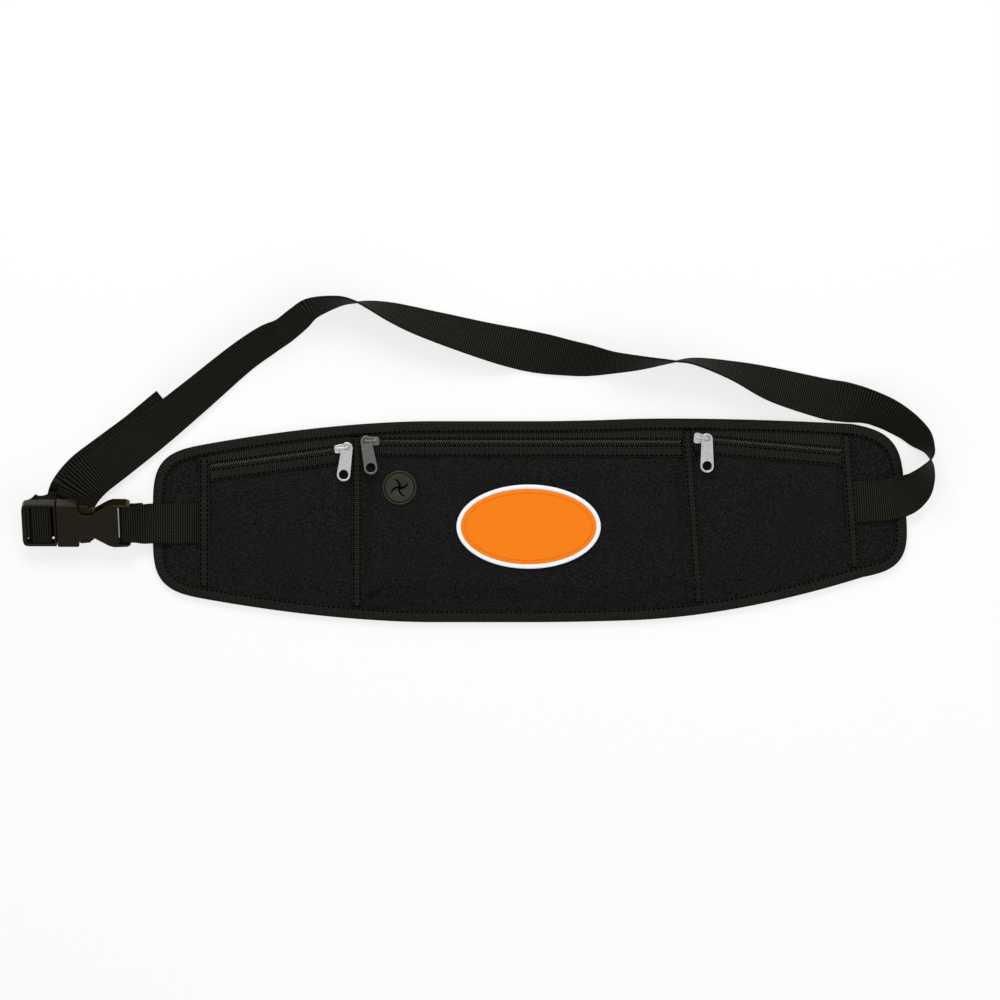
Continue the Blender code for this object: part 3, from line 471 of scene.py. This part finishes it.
def add_bead(bm, middle, direction, up, half_length, half_width, half_height):
    """A small rounded bar, such as a stitch or a zip tooth."""
    side = up.cross(direction).normalized()
    up = direction.cross(side).normalized()
    rings = []
    for at, size in ((-1.0, 0.35), (-0.6, 0.95), (0.0, 1.0), (0.6, 0.95), (1.0, 0.35)):
        ring = []
        for i in range(6):
            turn = math.tau * i / 6
            offset = side * (math.cos(turn) * half_width) + up * (math.sin(turn) * half_height)
            ring.append(bm.verts.new(middle + direction * (at * half_length) + offset * size))
        rings.append(ring)
    for lower, upper in zip(rings, rings[1:]):
        for i in range(6):
            bm.faces.new((lower[i - 1], lower[i], upper[i], upper[i - 1]))
    bm.faces.new(list(reversed(rings[0])))
    bm.faces.new(rings[-1])


# ---------------------------------------------------------------- sewn body

STITCH_PITCH = 0.0030
STITCH_HALF = 0.0010
THREAD_HALF = 0.00040
stitch_rows = []  # lines of points, filled as the pieces are made


def crown_of(side):
    return CENTRE_CROWN if side == "centre" else SIDE_CROWN


def fold(x, y, at, direction, length, width):
    """How deep a fold is there, from 0 to 1: it starts at a corner and fades along its direction."""
    offset = Vector((x - at[0], y - at[1]))
    along = offset.dot(direction)
    across = offset.dot(Vector((-direction.y, direction.x)))
    fade = smoothstep((along + 0.004) / 0.004) * (1 - smoothstep(along / length))
    return fade * math.exp(-((across / width) ** 2))


def front_relief(side, x, y, from_edge):
    """Small waves in the knit, stronger beside the seams that gather it."""
    broad = noise.noise(Vector((x * 22, y * 26, 3.1)))
    fine = noise.noise(Vector((x * 85, y * 60, 7.7)))
    gathered = 1 - smoothstep(from_edge / 0.016)
    ripple = math.sin(x / 0.0041 + 2.5 * broad) * 0.00016 * gathered
    return -0.00035 * (1 + broad) * smoothstep(from_edge / 0.012) + 0.00012 * fine + ripple


def corner_folds(x, y, width):
    """The tucks where the centre pocket's fullness is gathered into its lower corners."""
    left = fold(x, y, (-0.0985, -0.0480), Vector((0.90, 0.44)), 0.016, width)
    right = fold(x, y, (0.1005, -0.0435), Vector((-0.90, 0.44)), 0.016, width)
    return max(left, right)


def front_top(side, along, across):
    """Height of the upper face of a pocket's front."""
    left_seam, right_seam = ZIPS[side][:2]
    crown = crown_of(side)
    from_side = min(along - SEAMS[left_seam], SEAMS[right_seam] - along) - SEAM_TAPE_WIDTH / 2
    from_bottom = half_height(along) + across - BINDING_WIDTH
    from_top = zip_across(side, along) - COIL_HALF - TOP_BAND_WIDTH - across
    level = min(
        mix(SEAM_LEVEL, crown, smoothstep(from_side / RAMP_SIDE)),
        mix(RIM_LEVEL, crown, smoothstep(from_bottom / RAMP_BOTTOM)),
        mix(ZIP_LEVEL, crown, smoothstep(from_top / RAMP_TOP)),
    )
    x, y = laid(along, across)
    level += front_relief(side, x, y, max(0.0, min(from_side, from_bottom, from_top)))
    if side == "centre":
        tuck = corner_folds(x, y, 0.0020)
        fullness = corner_folds(x, y, 0.0060)
        level += (0.0036 * fullness - 0.0080 * tuck) * smoothstep(from_bottom / 0.004)
    return max(level, SEAM_LEVEL)


def plan_area(edge):
    """Area inside a loop of plan points."""
    crossed = (edge[i - 1][0] * edge[i][1] - edge[i][0] * edge[i - 1][1] for i in range(len(edge)))
    return abs(sum(crossed)) / 2


def plan_edge(plan):
    """Points along the lower edge of a plan and back along its upper edge."""
    steps = [i / 24 for i in range(25)]
    return [plan(u, 0) for u in steps] + [plan(u, 1) for u in reversed(steps)]


def pocket_front(side, knit):
    left, right = (SEAMS[seam] for seam in ZIPS[side][:2])

    def plan(u, v):
        along = mix(left + GAP, right - GAP, u)
        top = zip_across(side, along) - COIL_HALF - 0.0046
        return along, mix(SEWN_IN - half_height(along), top, v)

    def place(u, v):
        along, across = plan(u, v)
        return (*laid(along, across), front_top(side, along, across))

    length = right - left
    columns = round(length / 0.0016)
    obj = woven_sheet(
        f"knit_front_{side}", place, columns, 64, (length, 0.1), KNIT_THICKNESS, knit,
        (f"pocket_front_{side}",),
    )
    edge = plan_edge(plan)
    plan_area(edge)
    return obj


def end_panel(end, seam, knit):
    start = SEAMS[seam]
    sign = math.copysign(1, start)
    low, high = sorted((start + sign * GAP, sign * (PACK_LENGTH / 2 - SEWN_IN)))

    def plan(u, v):
        share = math.sin(u * math.pi / 2) if sign > 0 else 1 - math.sin((1 - u) * math.pi / 2)
        along = mix(low, high, share)
        return along, (2 * v - 1) * (half_height(along + sign * 0.8 * SEWN_IN) - SEWN_IN)

    def place(u, v):
        along, across = plan(u, v)
        x, y = laid(along, across)
        inside = min(abs(along - start), half_height(along) - abs(across) - BINDING_WIDTH)
        wave = noise.noise(Vector((x * 60, y * 60, 1.3))) * 0.0002
        return (x, y, 0.0026 + wave * smoothstep(inside / 0.006))

    obj = woven_sheet(
        f"knit_end_{end}", place, 24, 48, (high - low, 0.09), END_KNIT_THICKNESS, knit,
        (f"end_panel_{end}",),
    )
    edge = plan_edge(plan)
    plan_area(edge)
    return obj


def back_panel(knit):
    half = PACK_LENGTH / 2 - SEWN_IN

    def plan(u, v):
        along = math.sin((u - 0.5) * math.pi) * half
        return along, (2 * v - 1) * max(0.002, half_height(along * 1.008) - SEWN_IN)

    def place(u, v):
        along, across = plan(u, v)
        x, y = laid(along, across)
        inside = min(half_height(along) - abs(across), PACK_LENGTH / 2 - abs(along)) - BINDING_WIDTH
        wave = 0.00025 * (1 + noise.noise(Vector((x * 40, y * 40, 9.2))))
        return (x, y, 0.0015 + wave * smoothstep(inside / 0.010))

    obj = woven_sheet("knit_back", place, 200, 60, (0.45, 0.12), KNIT_THICKNESS, knit, ("back_panel",))
    edge = [at for at, _ in outline(96)]
    plan_area(edge) * 0.96
    return obj


def edge_binding(tape):
    """A tape folded round the whole edge, sewn through near its two edges."""
    profile = [
        (0.0068, 0.0000), (0.0035, 0.0000), (0.0009, 0.0001), (0.0002, 0.0008), (0.0, 0.0019),
        (0.0002, 0.0029), (0.0009, 0.00355), (0.0024, 0.0039), (0.0045, 0.00405), (0.0064, 0.0040),
        (0.0069, 0.0038), (0.0067, 0.0035), (0.0030, 0.0033), (0.0010, 0.0028), (0.0008, 0.0019),
        (0.0010, 0.0010), (0.0035, 0.0006), (0.0067, 0.0006),
    ]
    edge = outline(720)
    rings = []
    for i, (point, normal) in enumerate(edge):
        pull = 0.00012 * math.sin(i * 1.05) + 0.0002 * noise.noise(Vector((point.x * 70, point.y * 70, 0)))
        ring = []
        for inward, z in profile:
            wobble = pull if z > 0.003 else 0.0
            ring.append((*(point + normal * inward), z + wobble * smoothstep(inward / 0.004)))
        rings.append(ring)
    swept("binding_tape", rings, True, tape, ("edge_binding",))
    top = [(*(point + normal * BINDING_STITCH_INSET), 0.0041) for point, normal in edge]
    under = [(*(point + normal * BINDING_STITCH_INSET), 0.00005) for point, normal in edge]
    stitch_rows.extend((top + top[:1], under + under[:1]))


def seam_level(seam, along, across):
    """Height of a seam tape's upper face, over the zips and the webbing."""
    zips = [side for side in ZIPS if seam in ZIPS[side][:2]]
    zip_at = min(zip_across(side, along) for side in zips)
    level = mix(0.0035, 0.0046, smoothstep((across - zip_at + TOP_BAND_WIDTH + 0.007) / 0.004))
    webbing_y = WEBBING_Y.get(seam)
    if webbing_y is not None:
        off = abs(rise(along) + across - webbing_y) - WEBBING_WIDTH / 2
        level = max(level, mix(0.0049, 0.0035, smoothstep((off - 0.0005) / 0.004)))
    return level


def seam_tape(seam, tape):
    along = SEAMS[seam]
    reach = half_height(along) - BINDING_WIDTH - 0.0008

    def place(u, v):
        across = mix(-reach, reach, u)
        edge = abs(2 * v - 1) ** 3 * 0.0003
        wobble = 0.00012 * noise.noise(Vector((across * 90, v * 2, along)))
        at = laid(along + (0.5 - v) * SEAM_TAPE_WIDTH, across)
        return (*at, seam_level(seam, along, across) - edge + wobble)

    size = (2 * reach, SEAM_TAPE_WIDTH)
    nodes = (f"seam_tape_{seam}",)
    woven_sheet(f"tape_{seam}", place, 90, 8, size, TAPE_THICKNESS, tape, nodes)
    for offset in (-0.0020, 0.0020):
        row = []
        for i in range(61):
            across = mix(-reach, reach, i / 60)
            at = laid(along + offset, across)
            row.append((*at, seam_level(seam, along, across) + 0.00005))
        stitch_rows.append(row)


# ---------------------------------------------------------------- zips


def zip_strip(name, side, near, far, level, thickness, under_seam, material, nodes, roll=0.0):
    frame_of, length = zip_frame(side)
    left_seam, right_seam, left_y, right_y = ZIPS[side][:4]
    slope = (right_y - left_y) / length
    start, stop = SEAM_TAPE_WIDTH / 2 + GAP, length - SEAM_TAPE_WIDTH / 2 - GAP

    def place(u, v):
        below = mix(far, near, v)
        start_here = start - under_seam + below * (lean(SEAMS[left_seam]) - slope)
        stop_here = stop + under_seam + below * (lean(SEAMS[right_seam]) - slope)
        at = mix(start_here, stop_here, u)
        height = level + roll * (1 - (2 * v - 1) ** 4)
        wave = 0.00015 * noise.noise(Vector((at * 45, v * 3, level * 900)))
        return frame_of @ Vector((at, -below + wave, height + wave * smoothstep(v * (1 - v) * 8)))

    size = (length, far - near)
    columns = round(length / 0.0015)
    return woven_sheet(name, place, columns, 8, size, thickness, material, nodes)


def zip_tape_upper(side, tape):
    frame_of, length = zip_frame(side)
    start, stop = SEAM_TAPE_WIDTH / 2 + GAP, length - SEAM_TAPE_WIDTH / 2 - GAP
    under_seam = SEAM_TAPE_WIDTH / 3

    def place(u, v):
        inner = frame_of @ Vector((mix(start - under_seam, stop + under_seam, u), COIL_HALF + GAP, 0))
        top = half_height(inner.x) - SEWN_IN + rise(inner.x)
        bound = top - BINDING_WIDTH + SEWN_IN
        level_until = inner.y + 0.0022
        ys = (inner.y, level_until, max(bound, level_until + 0.0001), top)
        levels = (ZIP_LEVEL, ZIP_LEVEL - GAP, 0.0030, 0.0023)
        row = min(2, int(3 * v))
        share = 3 * v - row
        return (inner.x, mix(ys[row], ys[row + 1], share), mix(levels[row], levels[row + 1], share))

    columns = round(length / 0.002)
    nodes = (f"zip_tape_upper_{side}",)
    woven_sheet(
        f"upper_tape_{side}", place, columns, 6, (length, 0.012), ZIP_TAPE_THICKNESS, tape,
        nodes,
    )


def zip_coil(side, nylon):
    """The closed chain: a tooth from each side in turn, meeting along the middle."""
    frame_of, length = zip_frame(side)
    at_left = ZIPS[side][4] < 0
    start, stop = SEAM_TAPE_WIDTH / 2 + GAP, length - SEAM_TAPE_WIDTH / 2 - GAP
    free = SLIDER_LENGTH / 2 + 0.0015
    low, high = (start + free, stop) if at_left else (start, stop - free)
    pitch = 0.00150
    bm = bmesh.new()
    turn = frame_of.to_3x3()
    level = ZIP_LEVEL - 0.0002
    for i in range(int((high - low) / pitch)):
        at = low + pitch * (i + 0.5)
        for sign in (-1, 1):
            middle = frame_of @ Vector((at + sign * pitch / 4, sign * 0.00045, level))
            across = turn @ Vector((sign * 0.18, 1.0, 0.0)).normalized()
            add_bead(bm, middle, across, Vector((0, 0, 1)), 0.00048, 0.00026, 0.00060)
    name = f"coil_{side}"
    finished(name, mesh_of(bm, name), nylon, "pack", (f"zip_coil_{side}",))
    line = []
    for i in range(41):
        line.append(frame_of @ Vector((mix(low, high, i / 40), STITCHES_ABOVE_COIL, ZIP_LEVEL)))
    stitch_rows.append(line)


def pocket_top_band(side, tape):
    near = COIL_HALF + 0.0005
    far = near + TOP_BAND_WIDTH
    nodes = (f"pocket_top_binding_{side}",)
    zip_strip(f"top_band_{side}", side, near, far, 0.0044, BAND_THICKNESS, -GAP, tape, nodes, roll=0.0003)
    frame_of, length = zip_frame(side)
    for below in (near + 0.0011, far - 0.0011):
        line = []
        for i in range(61):
            at = mix(SEAM_TAPE_WIDTH / 2 + 0.001, length - SEAM_TAPE_WIDTH / 2 - 0.001, i / 60)
            line.append(frame_of @ Vector((at, -below, 0.0047)))
        stitch_rows.append(line)


# ---------------------------------------------------------------- front fittings


def lathe(name, profile, material, nodes, half=(1.0, 1.0), at=(0, 0), count=96, body="pack"):
    """A closed profile of (inset, height) carried round an ellipse with those half axes."""
    rings = []
    for i in range(count):
        x, y = math.cos(math.tau * i / count), math.sin(math.tau * i / count)
        rings.append([(at[0] + (half[0] - inset) * x, at[1] + (half[1] - inset) * y, z) for inset, z in profile])
    return swept(name, rings, True, material, nodes, body)


def port(rubber, slit_shade):
    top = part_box("port_grommet")[1].z
    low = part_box("port_grommet")[0].z
    rim = PORT_RADIUS
    face = top - 0.0001
    profile = [
        (0.0, top - 0.0007), (0.0001, top - 0.0004), (0.0004, top - 0.0001), (0.0008, top),
        (0.0012, top - 0.0002), (0.0013, top - 0.0005), (0.0017, top - 0.0005), (0.0018, face - 0.0001),
        (0.0022, face), (rim - 0.0002, face), (rim - 0.0002, face - 0.0008),
        (0.0052, face - 0.0008), (0.0052, low), (0.0040, low), (0.0040, top - 0.0008),
        (0.0002, top - 0.0008),
    ]
    lathe("port_rubber", profile, rubber, ("port_grommet",), (rim, rim), PORT_AT)
    # The groove ring and the four slits are thin near-black sheets: painted shade where the groove and the cuts
    # in the rubber fall into shadow.
    groove = [(0.0, top - 0.0005), (0.0, top - 0.0003), (0.00045, top - 0.0003), (0.00045, top - 0.0005)]
    lathe("port_groove", groove, slit_shade, (), (rim - 0.0013, rim - 0.0013), PORT_AT)
    bm = bmesh.new()
    steps = 14
    for arm in range(4):
        edges = []
        for i in range(steps + 1):
            share = i / steps
            radius = mix(0.0, 0.0063, share)
            turn = math.radians(90 * arm - 15 + 48 * share)
            width = 0.00060 * min(1.0, 4 * (1.05 - share))
            spot = Vector((*PORT_AT, face + 0.00004))
            out = Vector((math.cos(turn), math.sin(turn), 0))
            side = Vector((-out.y, out.x, 0))
            edges.append((spot + out * radius - side * width, spot + out * radius + side * width))
        verts = [(bm.verts.new(a), bm.verts.new(b)) for a, b in edges]
        for lower, upper in zip(verts, verts[1:]):
            bm.faces.new((lower[0], upper[0], upper[1], lower[1]))
    obj = finished("port_slits", mesh_of(bm, "port_slits"), slit_shade, "pack")
    solid = obj.modifiers.new("thickness", "SOLIDIFY")
    solid.thickness = 0.00008
    solid.offset = 0


def oval_badge(orange, pale, line):
    """A bare moulded oval with a pale raised border and one fine inset line."""
    base = PATCH_UNDERSIDE
    rim_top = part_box("oval_patch_rim")[1].z
    border = [
        (0.0, base), (0.0, rim_top - 0.0005), (0.0002, rim_top - 0.0002), (0.0006, rim_top),
        (PATCH_RIM - 0.0006, rim_top), (PATCH_RIM - 0.0001, rim_top - 0.0003), (PATCH_RIM, rim_top - 0.0006),
        (PATCH_RIM, base),
    ]
    lathe("badge_border", border, pale, ("oval_patch_rim",), PATCH_HALF, PATCH_AT, 160)
    inner = tuple(size - PATCH_RIM for size in PATCH_HALF)
    level = base + 0.0006
    bm = bmesh.new()
    rings = []
    for inset, z in ((0.0, base), (0.0, level - 0.0001), (0.0004, level), (0.0030, level), (0.010, level)):
        ring = []
        for i in range(160):
            x, y = math.cos(math.tau * i / 160), math.sin(math.tau * i / 160)
            ring.append(bm.verts.new((
                PATCH_AT[0] + (inner[0] - inset) * x, PATCH_AT[1] + (inner[1] - inset) * y, z
            )))
        rings.append(ring)
    for lower, upper in zip(rings, rings[1:]):
        for i in range(160):
            bm.faces.new((lower[i - 1], lower[i], upper[i], upper[i - 1]))
    bm.faces.new(rings[-1])
    bm.faces.new(list(reversed(rings[0])))
    finished("badge_face", mesh_of(bm, "badge_face"), orange, "pack", ("oval_patch",))
    groove = [(0.0, level), (0.0, level + 0.00008), (0.00035, level + 0.00008), (0.00035, level)]
    half = tuple(size - 0.0022 for size in inner)
    lathe("badge_line", groove, line, (), half, PATCH_AT, 160)


# ---------------------------------------------------------------- webbing


def between(points, steps):
    """A smooth curve through the points, with that many sections from each to the next."""
    points = [Vector(point) for point in points]
    curve = []
    for i in range(len(points) - 1):
        before = points[i - 1] if i else 2 * points[0] - points[1]
        after = points[i + 2] if i + 2 < len(points) else 2 * points[-1] - points[-2]
        for step in range(steps):
            t = step / steps
            a = -0.5 * t + t * t - 0.5 * t**3
            b = 1 - 2.5 * t * t + 1.5 * t**3
            c = 0.5 * t + 2 * t * t - 1.5 * t**3
            d = -0.5 * t * t + 0.5 * t**3
            curve.append(a * before + b * points[i] + c * points[i + 1] + d * after)
    return curve + [points[-1]]


def route_sections(route):
    """Turns stations of (x, y, lower edge, roll) into (middle, direction across) sections."""
    stations = between([(x / 1000, y / 1000, z / 1000, roll) for x, y, z, roll in route], ROUTE_STEPS)
    sections = []
    for i, station in enumerate(stations):
        ahead = stations[min(i + 1, len(stations) - 1)] - stations[max(i - 1, 0)]
        left = Vector((-ahead.y, ahead.x, 0)).normalized()
        roll = math.radians(station[3])
        across = left * math.cos(roll) + Vector((0, 0, math.sin(roll)))
        lift = WEBBING_WIDTH / 2 * abs(math.sin(roll)) + WEBBING_THICKNESS / 2 * abs(math.cos(roll))
        sections.append((Vector((station.x, station.y, station.z + lift)), across))
    return sections


def webbing_profile(width):
    """(across, up) points round a flat webbing with its two rounded selvedges."""
    half, thick = width / 2, WEBBING_THICKNESS / 2
    upper = [(-half, 0.0), (-half + 0.0003, thick), (-half + 0.0013, thick), (-half + 0.0016, thick * 0.78)]
    upper += [(mix(-1, 1, i / 6) * (half - 0.0020), thick * 0.82) for i in range(7)]
    upper += [(-x, z) for x, z in reversed(upper[1:4])] + [(half, 0.0)]
    return upper + [(x, -z) for x, z in reversed(upper[1:-1])]


def ribbon(name, sections, width, material, nodes, body):
    profile = webbing_profile(width)
    rings = []
    for i, (middle, across) in enumerate(sections):
        ahead = sections[min(i + 1, len(sections) - 1)][0] - sections[max(i - 1, 0)][0]
        up = ahead.cross(across).normalized()
        rings.append([tuple(middle + across * x + up * z) for x, z in profile])
    return swept(name, rings, False, material, nodes, body)


lowest = BUCKLE_WIDTH / 2 * math.sin(BUCKLE_ROLL) + BUCKLE_LIFT
buckle_frame = Matrix.Translation((*BUCKLE_AT, lowest)) @ Matrix.Rotation(BUCKLE_ROLL, 4, "X")


def rolled_sections(points):
    """Sections through points of the buckle's frame, across the buckle."""
    across = (buckle_frame.to_3x3() @ Vector((0, 1, 0))).normalized()
    return [(buckle_frame @ Vector((x, 0, z)), across) for x, z in points]


def around_bar(start, stop):
    """Points of the webbing's middle round a bar, from above it on one side to below it."""
    out = GAP + WEBBING_THICKNESS / 2
    reach = BAR_THICKNESS / 2 + out
    middle = BUCKLE_THICKNESS / 2
    left, right = start - out, stop + out
    cut = 0.0009
    turn = [(left + cut * (1 - math.cos(a)), cut * math.sin(a)) for a in (math.pi / 2, math.pi / 4, 0)]
    slack = 0.0005  # the fold sags a little from the bar on its lower side
    upper = [(x, middle + reach - cut + z) for x, z in turn]
    lower = [(x - slack, middle - reach + cut - z) for x, z in reversed(turn)]
    return [(right, middle + reach)] + upper + lower + [(right, middle - reach)]


def blended(first, last, count):
    made = []
    for i in range(1, count):
        share = i / count
        across = first[1].lerp(last[1], smoothstep(share)).normalized()
        made.append((first[0].lerp(last[0], share), across))
    return made


def short_webbing(webbing):
    """Webbing from under the pack's left seam tape, round the socket's bar and back under itself."""
    bar_end = SOCKET_LENGTH - 0.0009
    rolled = rolled_sections(around_bar(bar_end - SOCKET_BAR, bar_end))
    y = WEBBING_Y["left_outer"]
    edge = -PACK_LENGTH / 2
    flat = Vector((0, 1, 0))
    sewn = 0.0035
    over = RIM_STACK + 0.0004 + GAP + WEBBING_THICKNESS / 2
    pack_end = [
        (Vector((SEAMS["left_outer"] - GAP, y, sewn)), flat),
        (Vector((edge + BINDING_WIDTH + 0.007, y, sewn)), flat),
        (Vector((edge + BINDING_WIDTH + 0.002, y, over + 0.0003)), flat),
        (Vector((edge - 0.001, y, over + 0.0006)), flat),
    ]
    approach = blended(pack_end[-1], rolled[0], 8)
    under = blended(rolled[-1], (Vector((edge - 0.003, y, over - 0.0022)), flat), 6)
    sections = pack_end + approach + rolled + under[:-1]
    ribbon("short_strap", sections, WEBBING_WIDTH - 0.0006, webbing, ("webbing_short",), "pack")


def strap_tail(webbing):
    """The strap's turn round the plug's bar, and its loose end lying under the strap."""
    bar_start = -PLUG_LENGTH + LADDER_END_BAR + LADDER_SLOT
    wrap = around_bar(bar_start, bar_start + LADDER_BAR)
    right, top = wrap[0]
    out = GAP + WEBBING_THICKNESS / 2
    over = [(right, -0.0008), (right, top - 0.0006), (right - 0.0006, top)] + wrap[1:4]
    # it slants down across the plug's outer slot, then turns back under the buckle
    down = [(wrap[3][0] - 0.0038, -0.0010), (wrap[3][0] - 0.0026, -0.0010 - out)]
    rolled = rolled_sections(over + down)
    lap = rolled_sections([(0.0065, -out - GAP), (0.0010, -out - GAP)])
    tail = route_sections(TAIL_ROUTE)
    sections = lap + rolled + blended(rolled[-1], tail[0], 9) + tail
    ribbon("loose_strap_end", sections, WEBBING_WIDTH - 0.0002, webbing, ("strap_tail",), "plug")


# ---------------------------------------------------------------- stage


def camera_and_light():
    focus = Vector((-0.0177, 0.0122, 0.0))
    height = 2.60
    seen_width = 0.610
    data = bpy.data.cameras.new("overhead")
    data.sensor_width = 36.0
    data.lens = data.sensor_width * height / seen_width
    camera = bpy.data.objects.new("overhead", data)
    camera.location = focus + Vector((0, 0, height))
    bpy.context.scene.collection.objects.link(camera)
    bpy.context.scene.camera = camera

    for name, at, size, power in (
        ("key", (-0.2, 1.2, 1.1), 0.8, 15.0),
        ("fill", (0.8, -0.7, 1.3), 1.2, 5.0),
    ):
        light = bpy.data.lights.new(name, "AREA")
        light.shape = "DISK"
        light.size = size
        light.energy = power
        lamp = bpy.data.objects.new(name, light)
        lamp.location = Vector(at)
        lamp.rotation_euler = (focus - Vector(at)).to_track_quat("-Z", "Y").to_euler()
        bpy.context.scene.collection.objects.link(lamp)

    world = bpy.data.worlds.new("studio")
    world.use_nodes = True
    background = world.node_tree.nodes["Background"]
    seen = white_rays(world.node_tree)
    strength = world.node_tree.nodes.new("ShaderNodeMix")
    strength.inputs["A"].default_value = 0.60
    strength.inputs["B"].default_value = 1.0
    world.node_tree.links.new(seen, strength.inputs["Factor"])
    world.node_tree.links.new(strength.outputs["Result"], background.inputs["Strength"])
    background.inputs["Color"].default_value = (1, 1, 1, 1)
    bpy.context.scene.world = world


def white_rays(tree):
    """1 for the rays that see white: the camera's, reflections and rays through clear parts."""
    path = tree.nodes.new("ShaderNodeLightPath")
    seen = path.outputs["Is Camera Ray"]
    for name in ("Is Glossy Ray", "Is Transmission Ray"):
        larger = tree.nodes.new("ShaderNodeMath")
        larger.operation = "MAXIMUM"
        tree.links.new(seen, larger.inputs[0])
        tree.links.new(path.outputs[name], larger.inputs[1])
        seen = larger.outputs[0]
    return seen


def floor():
    bm = bmesh.new()
    bmesh.ops.create_grid(bm, x_segments=1, y_segments=1, size=4.0)
    mesh = mesh_of(bm, "floor")
    material, tree, shader = new_material("white_floor", (0.90, 0.90, 0.90), 0.9)
    shader.inputs["Specular IOR Level"].default_value = 0.0
    glow = tree.nodes.new("ShaderNodeEmission")
    blend = tree.nodes.new("ShaderNodeMixShader")
    share = tree.nodes.new("ShaderNodeMath")
    share.operation = "MULTIPLY"
    share.inputs[1].default_value = 0.72
    tree.links.new(white_rays(tree), share.inputs[0])
    tree.links.new(share.outputs["Value"], blend.inputs["Fac"])
    tree.links.new(shader.outputs["BSDF"], blend.inputs[1])
    tree.links.new(glow.outputs["Emission"], blend.inputs[2])
    tree.links.new(blend.outputs["Shader"], tree.nodes["Material Output"].inputs["Surface"])
    mesh.materials.append(material)
    obj = bpy.data.objects.new("floor", mesh)
    obj.location.z = -0.0006
    bpy.context.scene.collection.objects.link(obj)


# ---------------------------------------------------------------- the waist pack

knit = knit_material()
tape = woven_material(
    "binding_tape", (0.0040, 0.0040, 0.0032), (0.024, 0.024, 0.019), rib=0.0013, cross_rib=0.0009, depth=0.00015
)
zip_tape = woven_material(
    "zip_tape", (0.0050, 0.0048, 0.0036), (0.026, 0.025, 0.019), rib=0.0015, cross_rib=0.0010, depth=0.00012
)
webbing = woven_material(
    "strap_webbing", (0.0010, 0.0010, 0.0006), (0.026, 0.025, 0.018), rib=0.0014, cross_rib=0.0009, depth=0.00014
)
# The thread is black, and it is painted darker than the tapes round it as painted shade for the dips the
# stitches pull into the cloth.
thread_and_dip_shade = moulded_material("thread_and_dip_shade", (0.0010, 0.0010, 0.0010), 0.95, 0.0, 2500, 0.00005)
nylon = moulded_material("coil_nylon", (0.12, 0.12, 0.105), 0.4, 0.3, 2500, 0.00003)
silver = metal_material("plated_silver", (0.52, 0.52, 0.52), 0.24)
gunmetal = metal_material("plated_dark", (0.14, 0.14, 0.135), 0.26)
rubber = moulded_material("port_rubber", (0.024, 0.023, 0.016), 0.5, 0.15, 1500, 0.00005)
# Near black: painted shade for the port's slits and groove.
slit_shade = moulded_material("slit_shadow", (0.001, 0.001, 0.001), 0.95, 0.0, 1500, 0.00001)
ring_plastic = moulded_material("ring_plastic", (0.02, 0.02, 0.02), 0.6, 0.3, 1500, 0.00003)
plastic = moulded_material("buckle_plastic", (0.0090, 0.0068, 0.0014), 0.22, 0.10, 1200, 0.00002)
orange = moulded_material("badge_orange", (0.87, 0.205, 0.008), 0.6, 0.05, 1800, 0.00002)
orange_line = moulded_material("badge_line", (0.74, 0.15, 0.008), 0.5, 0.05, 1800, 0.00004)
pale = moulded_material("badge_border", (0.86, 0.86, 0.86), 0.55, 0.2, 1800, 0.00002)

back_panel(knit)
for side in ZIPS:
    pocket_front(side, knit)
end_panel("left", "left_outer", knit)
end_panel("right", "right_outer", knit)
edge_binding(tape)
for seam in SEAMS:
    seam_tape(seam, tape)

lower_near = COIL_HALF + GAP
for side in ZIPS:
    metal = gunmetal if side == "centre" else silver
    zip_tape_upper(side, zip_tape)
    zip_strip(
        f"lower_tape_{side}", side, lower_near, lower_near + LOWER_TAPE_WIDTH, ZIP_LEVEL,
        ZIP_TAPE_THICKNESS, SEAM_TAPE_WIDTH / 3, zip_tape, (f"zip_tape_lower_{side}",),
    )
    pocket_top_band(side, tape)
    zip_coil(side, nylon)
    moulded_copy(f"zip_slider_{side}", f"slider_{side}_cast", 0.00016, 4, metal, f"slider_{side}")
    moulded_copy(f"zip_pull_{side}", f"pull_{side}_stamped", 0.00014, 4, metal, f"pull_{side}")

# Stitches: beads of that near-black thread, which carries the painted shade of the stitch dips.
stitching = bmesh.new()
for row in stitch_rows:
    for middle, direction in spaced(row, STITCH_PITCH):
        add_bead(stitching, middle, direction, Vector((0, 0, 1)), STITCH_HALF, THREAD_HALF, THREAD_HALF)
finished("stitching", mesh_of(stitching, "stitching"), thread_and_dip_shade, "pack")

port(rubber, slit_shade)
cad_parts["port_backing_ring"].data.materials.clear()
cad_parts["port_backing_ring"].data.materials.append(ring_plastic)
oval_badge(orange, pale, orange_line)

for node, body in (
    ("buckle_socket", "pack"),
    ("buckle_plug", "plug"),
    ("buckle_arm_far", "arm_far"),
    ("buckle_arm_near", "arm_near"),
):
    moulded_copy(node, f"{node}_moulded", 0.00030, 12, plastic, body)
short_webbing(webbing)
strap_tail(webbing)
waist = ribbon("waist_webbing", route_sections(STRAP_ROUTE), WEBBING_WIDTH, webbing, ("waist_strap",), None)
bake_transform(waist)

floor()
camera_and_light()
bpy.context.scene.view_settings.view_transform = "Standard"
